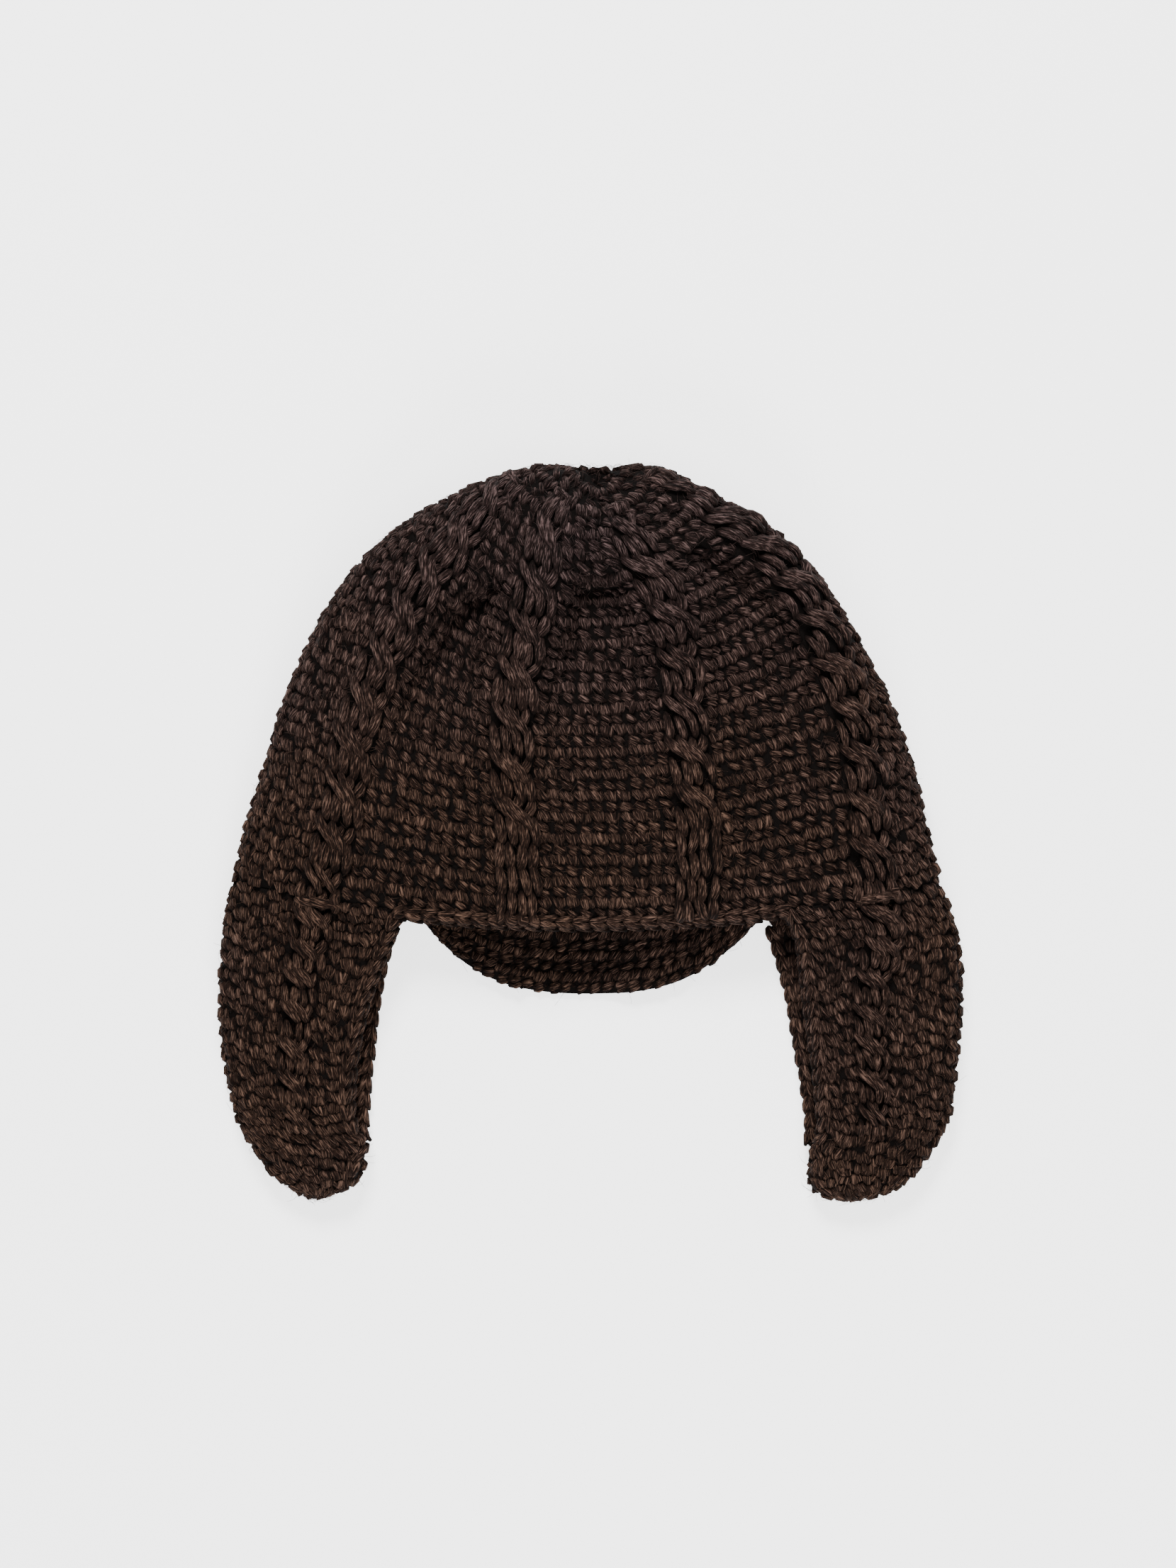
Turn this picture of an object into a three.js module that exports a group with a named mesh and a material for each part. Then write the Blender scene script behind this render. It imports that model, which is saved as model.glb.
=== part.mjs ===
// Crocheted wool cap with eight twisted cables and two folded earflaps.
// It lies on its back, front up. Millimetres, +X right, +Y towards the crown's centre, +Z up.
import * as THREE from "three";

// Fabric
const FABRIC = 4.6;
const SEAM = 0.4;
const WOOL = 0x3a2924;
const CABLE_WOOL = 0x46342f;
const EDGING_WOOL = 0x4c3933;
const ROUGHNESS = 0.95;

// Crown
const POLE_Y = 135.2;
const CROWN_LENGTH = 168.7;
const NAPE_LENGTH = 29.3;
const NAPE_HALF_WIDTH = 68;
const NAPE_ROUNDNESS = 3.8;
const FOLD_ROUNDNESS = 0.62;
const BACK_FLATNESS = 1.12;
const ANGLE_STEP = 0.01;
const CROWN_ROWS = 20;
const CROWN_FIRST_RING = 0.03;
const CROWN_LIFT_START = 0.25;

// Cables
const CABLE_HALF_WIDTH = 9.5;
const CABLE_RISE = 3.2;
const CABLE_CROSSING = 18;
const CABLE_SIDE_BLEND = 9;
const CABLE_END_RISE = 0.6;
const CABLE_SIDE_SLOPE = 0.22;
const CABLE_SWING = 0.18;
const CABLE_SIDE_RISE = 0.7;
const CABLE_RIDGE_RISE = 0.9;
const CABLE_ROCK = 0.15;
const CABLE_PULSE = 0.1;
const CABLE_CROWN_TAPER = 0.35;
const CABLE_FULL_WIDTH_AT = 0.3;

// Flaps
const FLAP_ROWS = 16;
const FLAP_TOE_ROW = 12;
const FLAP_MATCH_LENGTH = 0.3;
const FLAP_CABLE_END = 11;
const FLAP_LIFT_END = 5;

// Edging
const EDGING_WIDTH = 4.4;
const EDGING_HEIGHT = 5.2;
const EDGING_SIDES = 8;
const EDGING_LAST_ROW = 11;

// Sections of the crown from its centre (0) to the front hem (1): the two side folds, and the heights of the
// wall's middle at the folds, along the front and along the back
const CROWN_SECTIONS = [
  { at: 0.0, leftX: 3.5, leftY: 135.2, rightX: 3.5, rightY: 135.2, foldZ: 22, frontZ: 22, backZ: 22 },
  { at: 0.1, leftX: -18.9, leftY: 135.6, rightX: 24.9, rightY: 135.3, foldZ: 21, frontZ: 41, backZ: 8 },
  { at: 0.2, leftX: -41.1, leftY: 129.2, rightX: 44.0, rightY: 125.8, foldZ: 20, frontZ: 47, backZ: 3.4 },
  { at: 0.3, leftX: -61.3, leftY: 119.6, rightX: 63.5, rightY: 115.2, foldZ: 18, frontZ: 46, backZ: 2.3 },
  { at: 0.4, leftX: -80.0, leftY: 106.3, rightX: 79.8, rightY: 101.6, foldZ: 17, frontZ: 42, backZ: 2.3 },
  { at: 0.5, leftX: -94.3, leftY: 89.2, rightX: 92.8, rightY: 84.4, foldZ: 16, frontZ: 39, backZ: 2.3 },
  { at: 0.6, leftX: -105.5, leftY: 69.4, rightX: 103.5, rightY: 65.2, foldZ: 15, frontZ: 37, backZ: 2.3 },
  { at: 0.7, leftX: -114.7, leftY: 48.2, rightX: 113.5, rightY: 45.1, foldZ: 14, frontZ: 35, backZ: 2.3 },
  { at: 0.8, leftX: -121.1, leftY: 25.9, rightX: 120.9, rightY: 24.4, foldZ: 13.5, frontZ: 33, backZ: 2.3 },
  { at: 0.9, leftX: -128.6, leftY: 3.4, rightX: 126.0, rightY: 2.6, foldZ: 13, frontZ: 30.5, backZ: 2.3 },
  { at: 1.0, leftX: -133.7, leftY: -19.2, rightX: 131.1, rightY: -19.2, foldZ: 12, frontZ: 27.5, backZ: 2.3 },
];

// Where each cable crosses those sections, in degrees round the cap from the left fold over the front
const CABLE_ANGLES = [
  { at: 0.0, c1: 12, c2: 55, c3: 108, c4: 158, c5: 205, c6: 248, c7: 292, c8: 335 },
  { at: 0.1, c1: 16, c2: 56, c3: 108, c4: 158, c5: 206, c6: 249, c7: 292, c8: 334 },
  { at: 0.2, c1: 27, c2: 65, c3: 111.5, c4: 159, c5: 211, c6: 252, c7: 290, c8: 328 },
  { at: 0.3, c1: 35.5, c2: 71, c3: 114, c4: 159.5, c5: 217, c6: 255, c7: 288, c8: 322 },
  { at: 0.5, c1: 39.5, c2: 73.6, c3: 112, c4: 158.5, c5: 223, c6: 257, c7: 287, c8: 319 },
  { at: 0.7, c1: 39.8, c2: 75.8, c3: 110, c4: 152.5, c5: 227, c6: 259, c7: 286, c8: 319 },
  { at: 0.9, c1: 41.5, c2: 78.5, c3: 109.5, c4: 147.2, c5: 228, c6: 259, c7: 287, c8: 320 },
  { at: 1.0, c1: 40, c2: 79, c3: 108, c4: 146, c5: 229, c6: 259, c7: 287, c8: 320 },
];

// Each cable: where it starts and ends along the crown, and the columns of the panel after it, as shares
const CABLES = [
  { key: "c1", start: 0.15, end: 1.0, panel: [0.38, 0.6, 0.8] },
  { key: "c2", start: 0.1, end: 1.0, panel: [0.25, 0.5, 0.75] },
  { key: "c3", start: 0.1, end: 1.0, panel: [0.25, 0.5, 0.75] },
  { key: "c4", start: 0.1, end: 1.0, panel: [0.22, 0.4, 0.54, 0.68, 0.84] },
  { key: "c5", start: 0.2, end: 1.0, panel: [0.28, 0.52, 0.76] },
  { key: "c6", start: 0.2, end: 0.95, panel: [0.25, 0.5, 0.75] },
  { key: "c7", start: 0.2, end: 0.95, panel: [0.25, 0.5, 0.75] },
  { key: "c8", start: 0.2, end: 1.0, panel: [0.16, 0.34, 0.5, 0.66, 0.82] },
];

// Arched folds in the front, each with the dent under it: the arch's top, its half width, how far its legs
// drop, its slant, the dent's depth, and how far down the dent runs out
const ARCHES = [
  { x: -46, y: 94, halfWidth: 26, legs: 16, slant: 0.4, depth: 20, runOut: 30 },
  { x: 4, y: 98, halfWidth: 24, legs: 14, slant: 0.0, depth: 18, runOut: 34 },
  { x: 56, y: 110.5, halfWidth: 27, legs: 28, slant: -0.4, depth: 16, runOut: 34 },
];
const ARCH_LIP = 7.5;
const ARCH_BLEND = 6;
const TUCK = { x: 90, halfWidth: 15, y: -13, rise: 4, lip: 6 };

// Sections of a flap from the hem (0) to the tip (1): its fold, the edge of its front half, the edge of its
// back half, the heights, how far round the section reaches, and how much the edges curl together
const LEFT_FLAP = [
  { at: 0.0, foldX: -133.7, foldY: -19.2, frontX: -75.2, frontY: -32.0, backX: -71.5, backY: -31.8,
    foldZ: 12, frontZ: 25, backZ: 2.3, reach: 56, curl: 0 },
  { at: 0.15, foldX: -138.5, foldY: -40.0, frontX: -79.6, frontY: -43.0, backX: -78.8, backY: -43.0,
    foldZ: 10.8, frontZ: 20.5, backZ: 2.3, reach: 74, curl: 0 },
  { at: 0.3, foldX: -139.5, foldY: -61.0, frontX: -87.4, frontY: -64.0, backX: -84.5, backY: -64.0,
    foldZ: 9.8, frontZ: 17.4, backZ: 2.3, reach: 86, curl: 0 },
  { at: 0.45, foldX: -138.5, foldY: -82.0, frontX: -92.2, frontY: -85.0, backX: -86.8, backY: -85.0,
    foldZ: 9.4, frontZ: 16.4, backZ: 2.3, reach: 90, curl: 0.05 },
  { at: 0.6, foldX: -134.7, foldY: -103.0, frontX: -93.4, frontY: -105.0, backX: -88.6, backY: -105.0,
    foldZ: 9.2, frontZ: 16.4, backZ: 2.3, reach: 90, curl: 0.1 },
  { at: 0.69, foldX: -131.3, foldY: -112.0, frontX: -91.6, frontY: -113.5, backX: -88.8, backY: -113.5,
    foldZ: 9.1, frontZ: 16.6, backZ: 2.3, reach: 90, curl: 0.25 },
  { at: 0.75, foldX: -127.6, foldY: -120.0, frontX: -86.3, frontY: -121.0, backX: -86.3, backY: -121.0,
    foldZ: 9.0, frontZ: 16.0, backZ: 2.6, reach: 90, curl: 1 },
  { at: 0.8125, foldX: -122.2, foldY: -127.5, frontX: -88.0, frontY: -128.5, backX: -88.0, backY: -128.5,
    foldZ: 9.0, frontZ: 15.2, backZ: 3.0, reach: 90, curl: 1 },
  { at: 0.875, foldX: -115.8, foldY: -133.0, frontX: -91.0, frontY: -133.8, backX: -91.0, backY: -133.8,
    foldZ: 9.0, frontZ: 13.8, backZ: 4.2, reach: 90, curl: 1 },
  { at: 0.9375, foldX: -110.5, foldY: -136.6, frontX: -98.5, frontY: -137.0, backX: -98.5, backY: -137.0,
    foldZ: 9.0, frontZ: 11.8, backZ: 6.2, reach: 90, curl: 1 },
  { at: 1.0, foldX: -105.5, foldY: -138.2, frontX: -105.5, frontY: -138.2, backX: -105.5, backY: -138.2,
    foldZ: 9.0, frontZ: 9.0, backZ: 9.0, reach: 90, curl: 1 },
];
const RIGHT_FLAP = [
  { at: 0.0, foldX: 131.1, foldY: -19.2, frontX: 76.3, frontY: -31.7, backX: 65.0, backY: -34.0,
    foldZ: 12, frontZ: 25, backZ: 2.3, reach: 55, curl: 0 },
  { at: 0.15, foldX: 138.3, foldY: -40.0, frontX: 82.0, frontY: -43.0, backX: 72.9, backY: -43.0,
    foldZ: 10.8, frontZ: 21.5, backZ: 2.3, reach: 74, curl: 0 },
  { at: 0.3, foldX: 140.3, foldY: -61.0, frontX: 85.1, frontY: -64.0, backX: 79.4, backY: -64.0,
    foldZ: 9.8, frontZ: 18.4, backZ: 2.3, reach: 86, curl: 0 },
  { at: 0.45, foldX: 138.9, foldY: -82.0, frontX: 88.0, frontY: -85.0, backX: 82.9, backY: -85.0,
    foldZ: 9.4, frontZ: 17.0, backZ: 2.3, reach: 90, curl: 0.05 },
  { at: 0.6, foldX: 136.3, foldY: -103.5, frontX: 90.2, frontY: -105.0, backX: 86.4, backY: -105.0,
    foldZ: 9.2, frontZ: 16.6, backZ: 2.3, reach: 90, curl: 0.1 },
  { at: 0.69, foldX: 133.2, foldY: -113.0, frontX: 90.0, frontY: -114.5, backX: 86.8, backY: -114.5,
    foldZ: 9.1, frontZ: 16.6, backZ: 2.3, reach: 90, curl: 0.25 },
  { at: 0.75, foldX: 129.1, foldY: -121.5, frontX: 85.6, frontY: -123.0, backX: 85.6, backY: -123.0,
    foldZ: 9.0, frontZ: 16.0, backZ: 2.6, reach: 90, curl: 1 },
  { at: 0.8125, foldX: 123.2, foldY: -129.0, frontX: 84.5, frontY: -130.0, backX: 84.5, backY: -130.0,
    foldZ: 9.0, frontZ: 15.2, backZ: 3.0, reach: 90, curl: 1 },
  { at: 0.875, foldX: 117.3, foldY: -134.0, frontX: 85.0, frontY: -135.0, backX: 85.0, backY: -135.0,
    foldZ: 9.0, frontZ: 13.8, backZ: 4.2, reach: 90, curl: 1 },
  { at: 0.9375, foldX: 110.5, foldY: -137.3, frontX: 88.8, frontY: -137.8, backX: 88.8, backY: -137.8,
    foldZ: 9.0, frontZ: 11.8, backZ: 6.2, reach: 90, curl: 1 },
  { at: 1.0, foldX: 99.5, foldY: -138.8, frontX: 99.5, frontY: -138.8, backX: 99.5, backY: -138.8,
    foldZ: 9.0, frontZ: 9.0, backZ: 9.0, reach: 90, curl: 1 },
];

// The crown's columns that each flap hangs from, its fold, and its cables' columns counted within the flap
const LEFT = {
  sections: LEFT_FLAP, fold: 0, columns: [42, 43, 44, 45, 46, 47, 48, 49, 50, 51, 0, 1, 2, 3],
  backCable: [2, 3, 4], frontCable: [10, 11, 12], backCableShare: 0.69, backWidth: 62, frontSpread: 0.95,
};
const RIGHT = {
  sections: RIGHT_FLAP, fold: Math.PI, columns: [16, 17, 18, 19, 20, 21, 22, 23, 24, 25, 26, 27, 28, 29],
  frontCable: [2, 3, 4], backCable: [10, 11, 12], backCableShare: 0.81, backWidth: 62, frontSpread: 0.6,
};

const radians = THREE.MathUtils.degToRad;
const mix = THREE.MathUtils.lerp;
const clamp = THREE.MathUtils.clamp;

function ease(share) {
  const t = clamp(share, 0, 1);
  return t * t * (3 - 2 * t);
}

// Smooth value of one column of a table
function read(table, column, at) {
  const last = table.length - 1;
  let i = 0;
  while (i < last - 1 && at > table[i + 1].at) {
    i += 1;
  }
  const slope = (k) => {
    const before = table[Math.max(k - 1, 0)];
    const after = table[Math.min(k + 1, last)];
    return (after[column] - before[column]) / (after.at - before.at);
  };
  const start = table[i];
  const end = table[i + 1];
  const gap = end.at - start.at;
  const t = clamp((at - start.at) / gap, 0, 1);
  const bend = t * t * (3 - 2 * t);
  const leave = t * (1 - t) * (1 - t) * gap * slope(i);
  const arrive = t * t * (t - 1) * gap * slope(i + 1);
  return mix(start[column], end[column], bend) + leave + arrive;
}

// Height that the arched folds and the tuck beside the right flap give the front
function frontRelief(x, y) {
  let relief = 0;
  for (const arch of ARCHES) {
    const side = (x - arch.x) / arch.halfWidth;
    const line = arch.y + arch.slant * (x - arch.x) - arch.legs * side * side;
    const under = line - y;
    if (under > 0) {
      const width = Math.exp(-(side ** 4));
      relief -= arch.depth * width * ease(under / ARCH_LIP) * Math.exp(-under / arch.runOut);
    }
  }
  const tuckSide = (x - TUCK.x) / TUCK.halfWidth;
  relief += TUCK.rise * Math.exp(-(tuckSide ** 4)) * ease((TUCK.y - y) / TUCK.lip);
  return relief;
}

// Room that the back wall leaves for the cables it lies on
function cableLift(distance) {
  const beside = (distance - CABLE_HALF_WIDTH) / CABLE_SIDE_BLEND;
  return (CABLE_RISE + SEAM) * (1 - ease(beside));
}

function crownPoint(angle, down) {
  const at = Math.min(down, 1);
  const across = (1 - Math.cos(angle)) / 2;
  const leftX = read(CROWN_SECTIONS, "leftX", at);
  const rightX = read(CROWN_SECTIONS, "rightX", at);
  const x = mix(leftX, rightX, across);
  const foldY = mix(read(CROWN_SECTIONS, "leftY", at), read(CROWN_SECTIONS, "rightY", at), across);
  const middleY = POLE_Y - CROWN_LENGTH * down;
  const sine = Math.sin(angle);
  const y = foldY + (middleY - foldY) * sine * sine;
  const foldZ = read(CROWN_SECTIONS, "foldZ", at);
  if (sine >= 0) {
    const frontZ = read(CROWN_SECTIONS, "frontZ", at);
    const relief = frontRelief(x, y) * awayFromCables(angle, at, (rightX - leftX) / 2);
    return new THREE.Vector3(x, y, foldZ + (frontZ - foldZ) * sine ** FOLD_ROUNDNESS + relief);
  }
  const backZ = read(CROWN_SECTIONS, "backZ", at);
  const drop = Math.min(1, BACK_FLATNESS * (-sine) ** FOLD_ROUNDNESS);
  let z = foldZ + (backZ - foldZ) * drop;
  for (const cable of CABLES) {
    const away = Math.abs(angle - cableAngle(cable.key, at));
    const distance = (away * (rightX - leftX) * -sine) / 2;
    z = Math.max(z, FABRIC / 2 + cableLift(distance) * ease(at / CROWN_LIFT_START));
  }
  return new THREE.Vector3(x, y, z);
}

// 0 on a cable and 1 in the panel between two
function awayFromCables(angle, at, halfWidth) {
  let share = 1;
  for (const cable of CABLES) {
    const distance = Math.abs(angle - cableAngle(cable.key, at)) * halfWidth * Math.sin(angle);
    share *= ease((distance - CABLE_HALF_WIDTH) / ARCH_BLEND);
  }
  return share;
}

function cableAngle(key, at) {
  return radians(read(CABLE_ANGLES, key, at));
}

// Half of a cable's width as an angle round the crown
function cableHalfAngle(angle, at) {
  const near = crownPoint(angle - ANGLE_STEP, at);
  const far = crownPoint(angle + ANGLE_STEP, at);
  const perRadian = near.distanceTo(far) / (2 * ANGLE_STEP);
  const taper = mix(CABLE_CROWN_TAPER, 1, ease(at / CABLE_FULL_WIDTH_AT));
  return (CABLE_HALF_WIDTH * taper) / perRadian;
}

// Angles of the crown's columns at one section: three for each cable and some for the panel after it
function crownColumns(down) {
  const at = Math.max(down, CROWN_FIRST_RING);
  const edges = CABLES.map((cable) => {
    const middle = cableAngle(cable.key, at);
    const half = cableHalfAngle(middle, at);
    return { left: middle - half, middle, right: middle + half };
  });
  const angles = [];
  CABLES.forEach((cable, k) => {
    const edge = edges[k];
    const next = edges[(k + 1) % CABLES.length];
    const turn = k === CABLES.length - 1 ? 2 * Math.PI : 0;
    angles.push(edge.left, edge.middle, edge.right);
    for (const share of cable.panel) {
      angles.push(mix(edge.right, next.left + turn, share));
    }
  });
  return angles;
}

// The nape tongue: how far below the front hem the back runs, as a share of the crown's length
function hemReach(angle) {
  const point = crownPoint(angle, 1);
  const side = Math.abs(point.x) / NAPE_HALF_WIDTH;
  if (Math.sin(angle) >= 0 || side >= 1) {
    return 1;
  }
  return 1 + (NAPE_LENGTH / CROWN_LENGTH) * (1 - side ** NAPE_ROUNDNESS);
}

function crownGrid() {
  const reaches = crownColumns(1).map(hemReach);
  const rows = [];
  for (let j = 0; j <= CROWN_ROWS; j += 1) {
    const at = j / CROWN_ROWS;
    rows.push(crownColumns(at).map((angle, i) => crownPoint(angle, at * reaches[i])));
  }
  return rows;
}

// Normals of a grid, from each point's neighbours; rows that close on themselves are named by isClosed
function gridNormals(grid, isClosed) {
  return grid.map((row, j) => row.map((point, i) => {
    const count = row.length;
    const closed = isClosed(j);
    const before = closed ? row[(i + count - 1) % count] : row[Math.max(i - 1, 0)];
    const after = closed ? row[(i + 1) % count] : row[Math.min(i + 1, count - 1)];
    const above = grid[Math.max(j - 1, 0)][i];
    const below = grid[Math.min(j + 1, grid.length - 1)][i];
    const normal = below.clone().sub(above).cross(after.clone().sub(before));
    return normal.normalize();
  }));
}

// One shared normal for a row that is a single point, from the row beside it
function poleNormal(normals) {
  const sum = new THREE.Vector3();
  normals.forEach((normal) => sum.add(normal));
  return sum.normalize();
}

function offsetGrid(grid, normals, distance) {
  return grid.map((row, j) => row.map((point, i) => point.clone().addScaledVector(normals[j][i], distance)));
}

// Collects triangles by the keys of their corners and leaves out the flat ones
class Triangles {
  constructor() {
    this.keys = new Map();
    this.positions = [];
    this.index = [];
  }

  corner(key, point) {
    if (!this.keys.has(key)) {
      this.keys.set(key, this.positions.length / 3);
      this.positions.push(point.x, point.y, point.z);
    }
    return this.keys.get(key);
  }

  triangle(a, b, c) {
    if (a !== b && b !== c && c !== a) {
      this.index.push(a, b, c);
    }
  }

  quad(a, b, c, d) {
    this.triangle(a, b, d);
    this.triangle(b, c, d);
  }

  volume() {
    const point = (k) => new THREE.Vector3().fromArray(this.positions, 3 * k);
    let sum = 0;
    for (let k = 0; k < this.index.length; k += 3) {
      const [a, b, c] = this.index.slice(k, k + 3).map(point);
      sum += a.dot(b.cross(c));
    }
    return sum / 6;
  }

  geometry() {
    if (this.volume() < 0) {
      this.index.reverse();
    }
    const result = new THREE.BufferGeometry();
    result.setAttribute("position", new THREE.Float32BufferAttribute(this.positions, 3));
    result.setIndex(this.index);
    result.computeVertexNormals();
    return result;
  }
}

// A wall between an outer and an inner grid of points. closedFrom is the first row that closes on itself;
// poleRow is a row that is a single point.
function wallSolid(outer, inner, closedFrom, poleRow) {
  const mesh = new Triangles();
  const rows = outer.length;
  const columns = outer[0].length;
  const wrapsAll = closedFrom === 0;
  const corner = (layer, j, i) => {
    const grid = layer === "outer" ? outer : inner;
    let column = i;
    if (j === poleRow) {
      column = 0;
    } else if (i === columns) {
      column = 0;
    } else if (!wrapsAll && j >= closedFrom && i === columns - 1) {
      column = 0;
    }
    return mesh.corner(`${layer} ${j} ${column}`, grid[j][column]);
  };
  const strips = wrapsAll ? columns : columns - 1;
  for (let j = 0; j < rows - 1; j += 1) {
    for (let i = 0; i < strips; i += 1) {
      const facing = (layer) => [
        corner(layer, j, i), corner(layer, j + 1, i), corner(layer, j + 1, i + 1), corner(layer, j, i + 1),
      ];
      mesh.quad(...facing("outer"));
      const [a, b, c, d] = facing("inner");
      mesh.triangle(a, d, b);
      mesh.triangle(b, d, c);
    }
  }
  const rim = (j, turned) => {
    for (let i = 0; i < strips; i += 1) {
      const near = turned ? i : i + 1;
      const far = turned ? i + 1 : i;
      mesh.quad(corner("outer", j, near), corner("outer", j, far), corner("inner", j, far),
        corner("inner", j, near));
    }
  };
  if (poleRow !== 0) {
    rim(0, true);
  }
  if (poleRow !== rows - 1) {
    rim(rows - 1, false);
  }
  if (!wrapsAll) {
    for (let j = 0; j < closedFrom; j += 1) {
      mesh.quad(corner("outer", j + 1, 0), corner("outer", j, 0), corner("inner", j, 0),
        corner("inner", j + 1, 0));
      mesh.quad(corner("outer", j, columns - 1), corner("outer", j + 1, columns - 1),
        corner("inner", j + 1, columns - 1), corner("inner", j, columns - 1));
    }
  }
  return mesh.geometry();
}

// A solid lofted through loops of points, with both ends closed
function loftSolid(loops) {
  const mesh = new Triangles();
  const sides = loops[0].length;
  const corner = (j, i) => mesh.corner(`${j} ${i % sides}`, loops[j][i % sides]);
  for (let j = 0; j < loops.length - 1; j += 1) {
    for (let i = 0; i < sides; i += 1) {
      mesh.quad(corner(j, i), corner(j + 1, i), corner(j + 1, i + 1), corner(j, i + 1));
    }
  }
  const cap = (j, turned) => {
    const middle = new THREE.Vector3();
    loops[j].forEach((point) => middle.addScaledVector(point, 1 / sides));
    const centre = mesh.corner(`middle ${j}`, middle);
    for (let i = 0; i < sides; i += 1) {
      const a = corner(j, i);
      const b = corner(j, i + 1);
      if (turned) {
        mesh.triangle(centre, a, b);
      } else {
        mesh.triangle(centre, b, a);
      }
    }
  };
  cap(0, true);
  cap(loops.length - 1, false);
  return mesh.geometry();
}

// The top of a cable at one step: its left side, its ridge and its right side
function cableTop(left, middle, right, normal, turn, rise) {
  const swing = CABLE_SWING * Math.sin(turn);
  const leftHeight = rise * (CABLE_SIDE_RISE + CABLE_ROCK * Math.sin(turn));
  const rightHeight = rise * (CABLE_SIDE_RISE - CABLE_ROCK * Math.sin(turn));
  const ridgeHeight = rise * (CABLE_RIDGE_RISE + CABLE_PULSE * Math.cos(turn));
  const top = [
    left.clone().lerp(middle, CABLE_SIDE_SLOPE).addScaledVector(normal, leftHeight),
    middle.clone().lerp(swing > 0 ? right : left, Math.abs(swing)).addScaledVector(normal, ridgeHeight),
    right.clone().lerp(middle, CABLE_SIDE_SLOPE).addScaledVector(normal, rightHeight),
  ];
  top.forEach((point) => {
    point.z = Math.max(point.z, 0);
  });
  return top;
}

// One cable over three neighbouring columns of a wall, from one row to another. Its underside follows the
// wall's facets, and its top has two steps for each row.
function cableSolid(wall, columns, firstRow, lastRow, phase) {
  const mesh = new Triangles();
  const under = [];
  for (let j = firstRow; j <= lastRow; j += 1) {
    under.push(columns.map((i) => wall.outer[j][i].clone().addScaledVector(wall.normals[j][i], SEAM)));
  }
  const rows = under.length - 1;
  const steps = 2 * rows;
  const tops = [];
  let along = 0;
  let previous = under[0][1];
  for (let step = 0; step <= steps; step += 1) {
    const j = Math.min(Math.floor(step / 2), rows - 1);
    const share = step / 2 - j;
    const [left, middle, right] = columns.map((_, i) => under[j][i].clone().lerp(under[j + 1][i], share));
    const normal = wall.normals[firstRow + j][columns[1]].clone();
    normal.lerp(wall.normals[firstRow + j + 1][columns[1]], share).normalize();
    along += middle.distanceTo(previous);
    previous = middle;
    const turn = (2 * Math.PI * along) / CABLE_CROSSING + phase;
    const rise = step === 0 || step === steps ? CABLE_RISE * CABLE_END_RISE : CABLE_RISE;
    tops.push(cableTop(left, middle, right, normal, turn, rise));
  }
  const low = (j, i) => mesh.corner(`under ${j} ${i}`, under[j][i]);
  const high = (step, i) => mesh.corner(`top ${step} ${i}`, tops[step][i]);
  for (let step = 0; step < steps; step += 1) {
    for (const i of [0, 1]) {
      mesh.quad(high(step, i), high(step + 1, i), high(step + 1, i + 1), high(step, i + 1));
    }
  }
  for (let j = 0; j < rows; j += 1) {
    for (const i of [0, 1]) {
      mesh.triangle(low(j, i), low(j, i + 1), low(j + 1, i));
      mesh.triangle(low(j + 1, i), low(j, i + 1), low(j + 1, i + 1));
    }
    mesh.triangle(high(2 * j + 1, 0), high(2 * j, 0), low(j, 0));
    mesh.triangle(high(2 * j + 1, 0), low(j, 0), low(j + 1, 0));
    mesh.triangle(high(2 * j + 2, 0), high(2 * j + 1, 0), low(j + 1, 0));
    mesh.triangle(high(2 * j, 2), high(2 * j + 1, 2), low(j, 2));
    mesh.triangle(high(2 * j + 1, 2), low(j + 1, 2), low(j, 2));
    mesh.triangle(high(2 * j + 1, 2), high(2 * j + 2, 2), low(j + 1, 2));
  }
  for (const i of [0, 1]) {
    mesh.quad(high(0, i), high(0, i + 1), low(0, i + 1), low(0, i));
    mesh.quad(high(steps, i + 1), high(steps, i), low(rows, i), low(rows, i + 1));
  }
  return mesh.geometry();
}

// A flap: share 0 is its fold and 1 its edge, on the front half or the back half
function flapPoint(table, isFront, share, at) {
  const side = isFront ? "front" : "back";
  const reach = radians(read(table, "reach", at));
  const turn = reach * share;
  const curl = read(table, "curl", at);
  const across = (1 - Math.cos(turn)) / (1 - Math.cos(reach));
  const bulge = Math.sin(turn) / Math.sin(reach);
  const foldX = read(table, "foldX", at);
  const foldY = read(table, "foldY", at);
  const foldZ = read(table, "foldZ", at);
  const x = mix(foldX, read(table, `${side}X`, at), across);
  const y = mix(foldY, read(table, `${side}Y`, at), bulge * bulge);
  const sideZ = read(table, `${side}Z`, at);
  let rise = bulge ** FOLD_ROUNDNESS;
  if (!isFront) {
    rise = Math.min(1, BACK_FLATNESS * rise);
  }
  const toEdge = clamp(2 * across - 1, 0, 1);
  const closing = 1 - curl * (1 - Math.sqrt(Math.max(1 - toEdge * toEdge, 0)));
  return new THREE.Vector3(x, y, foldZ + (sideZ - foldZ) * rise * closing);
}

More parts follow.
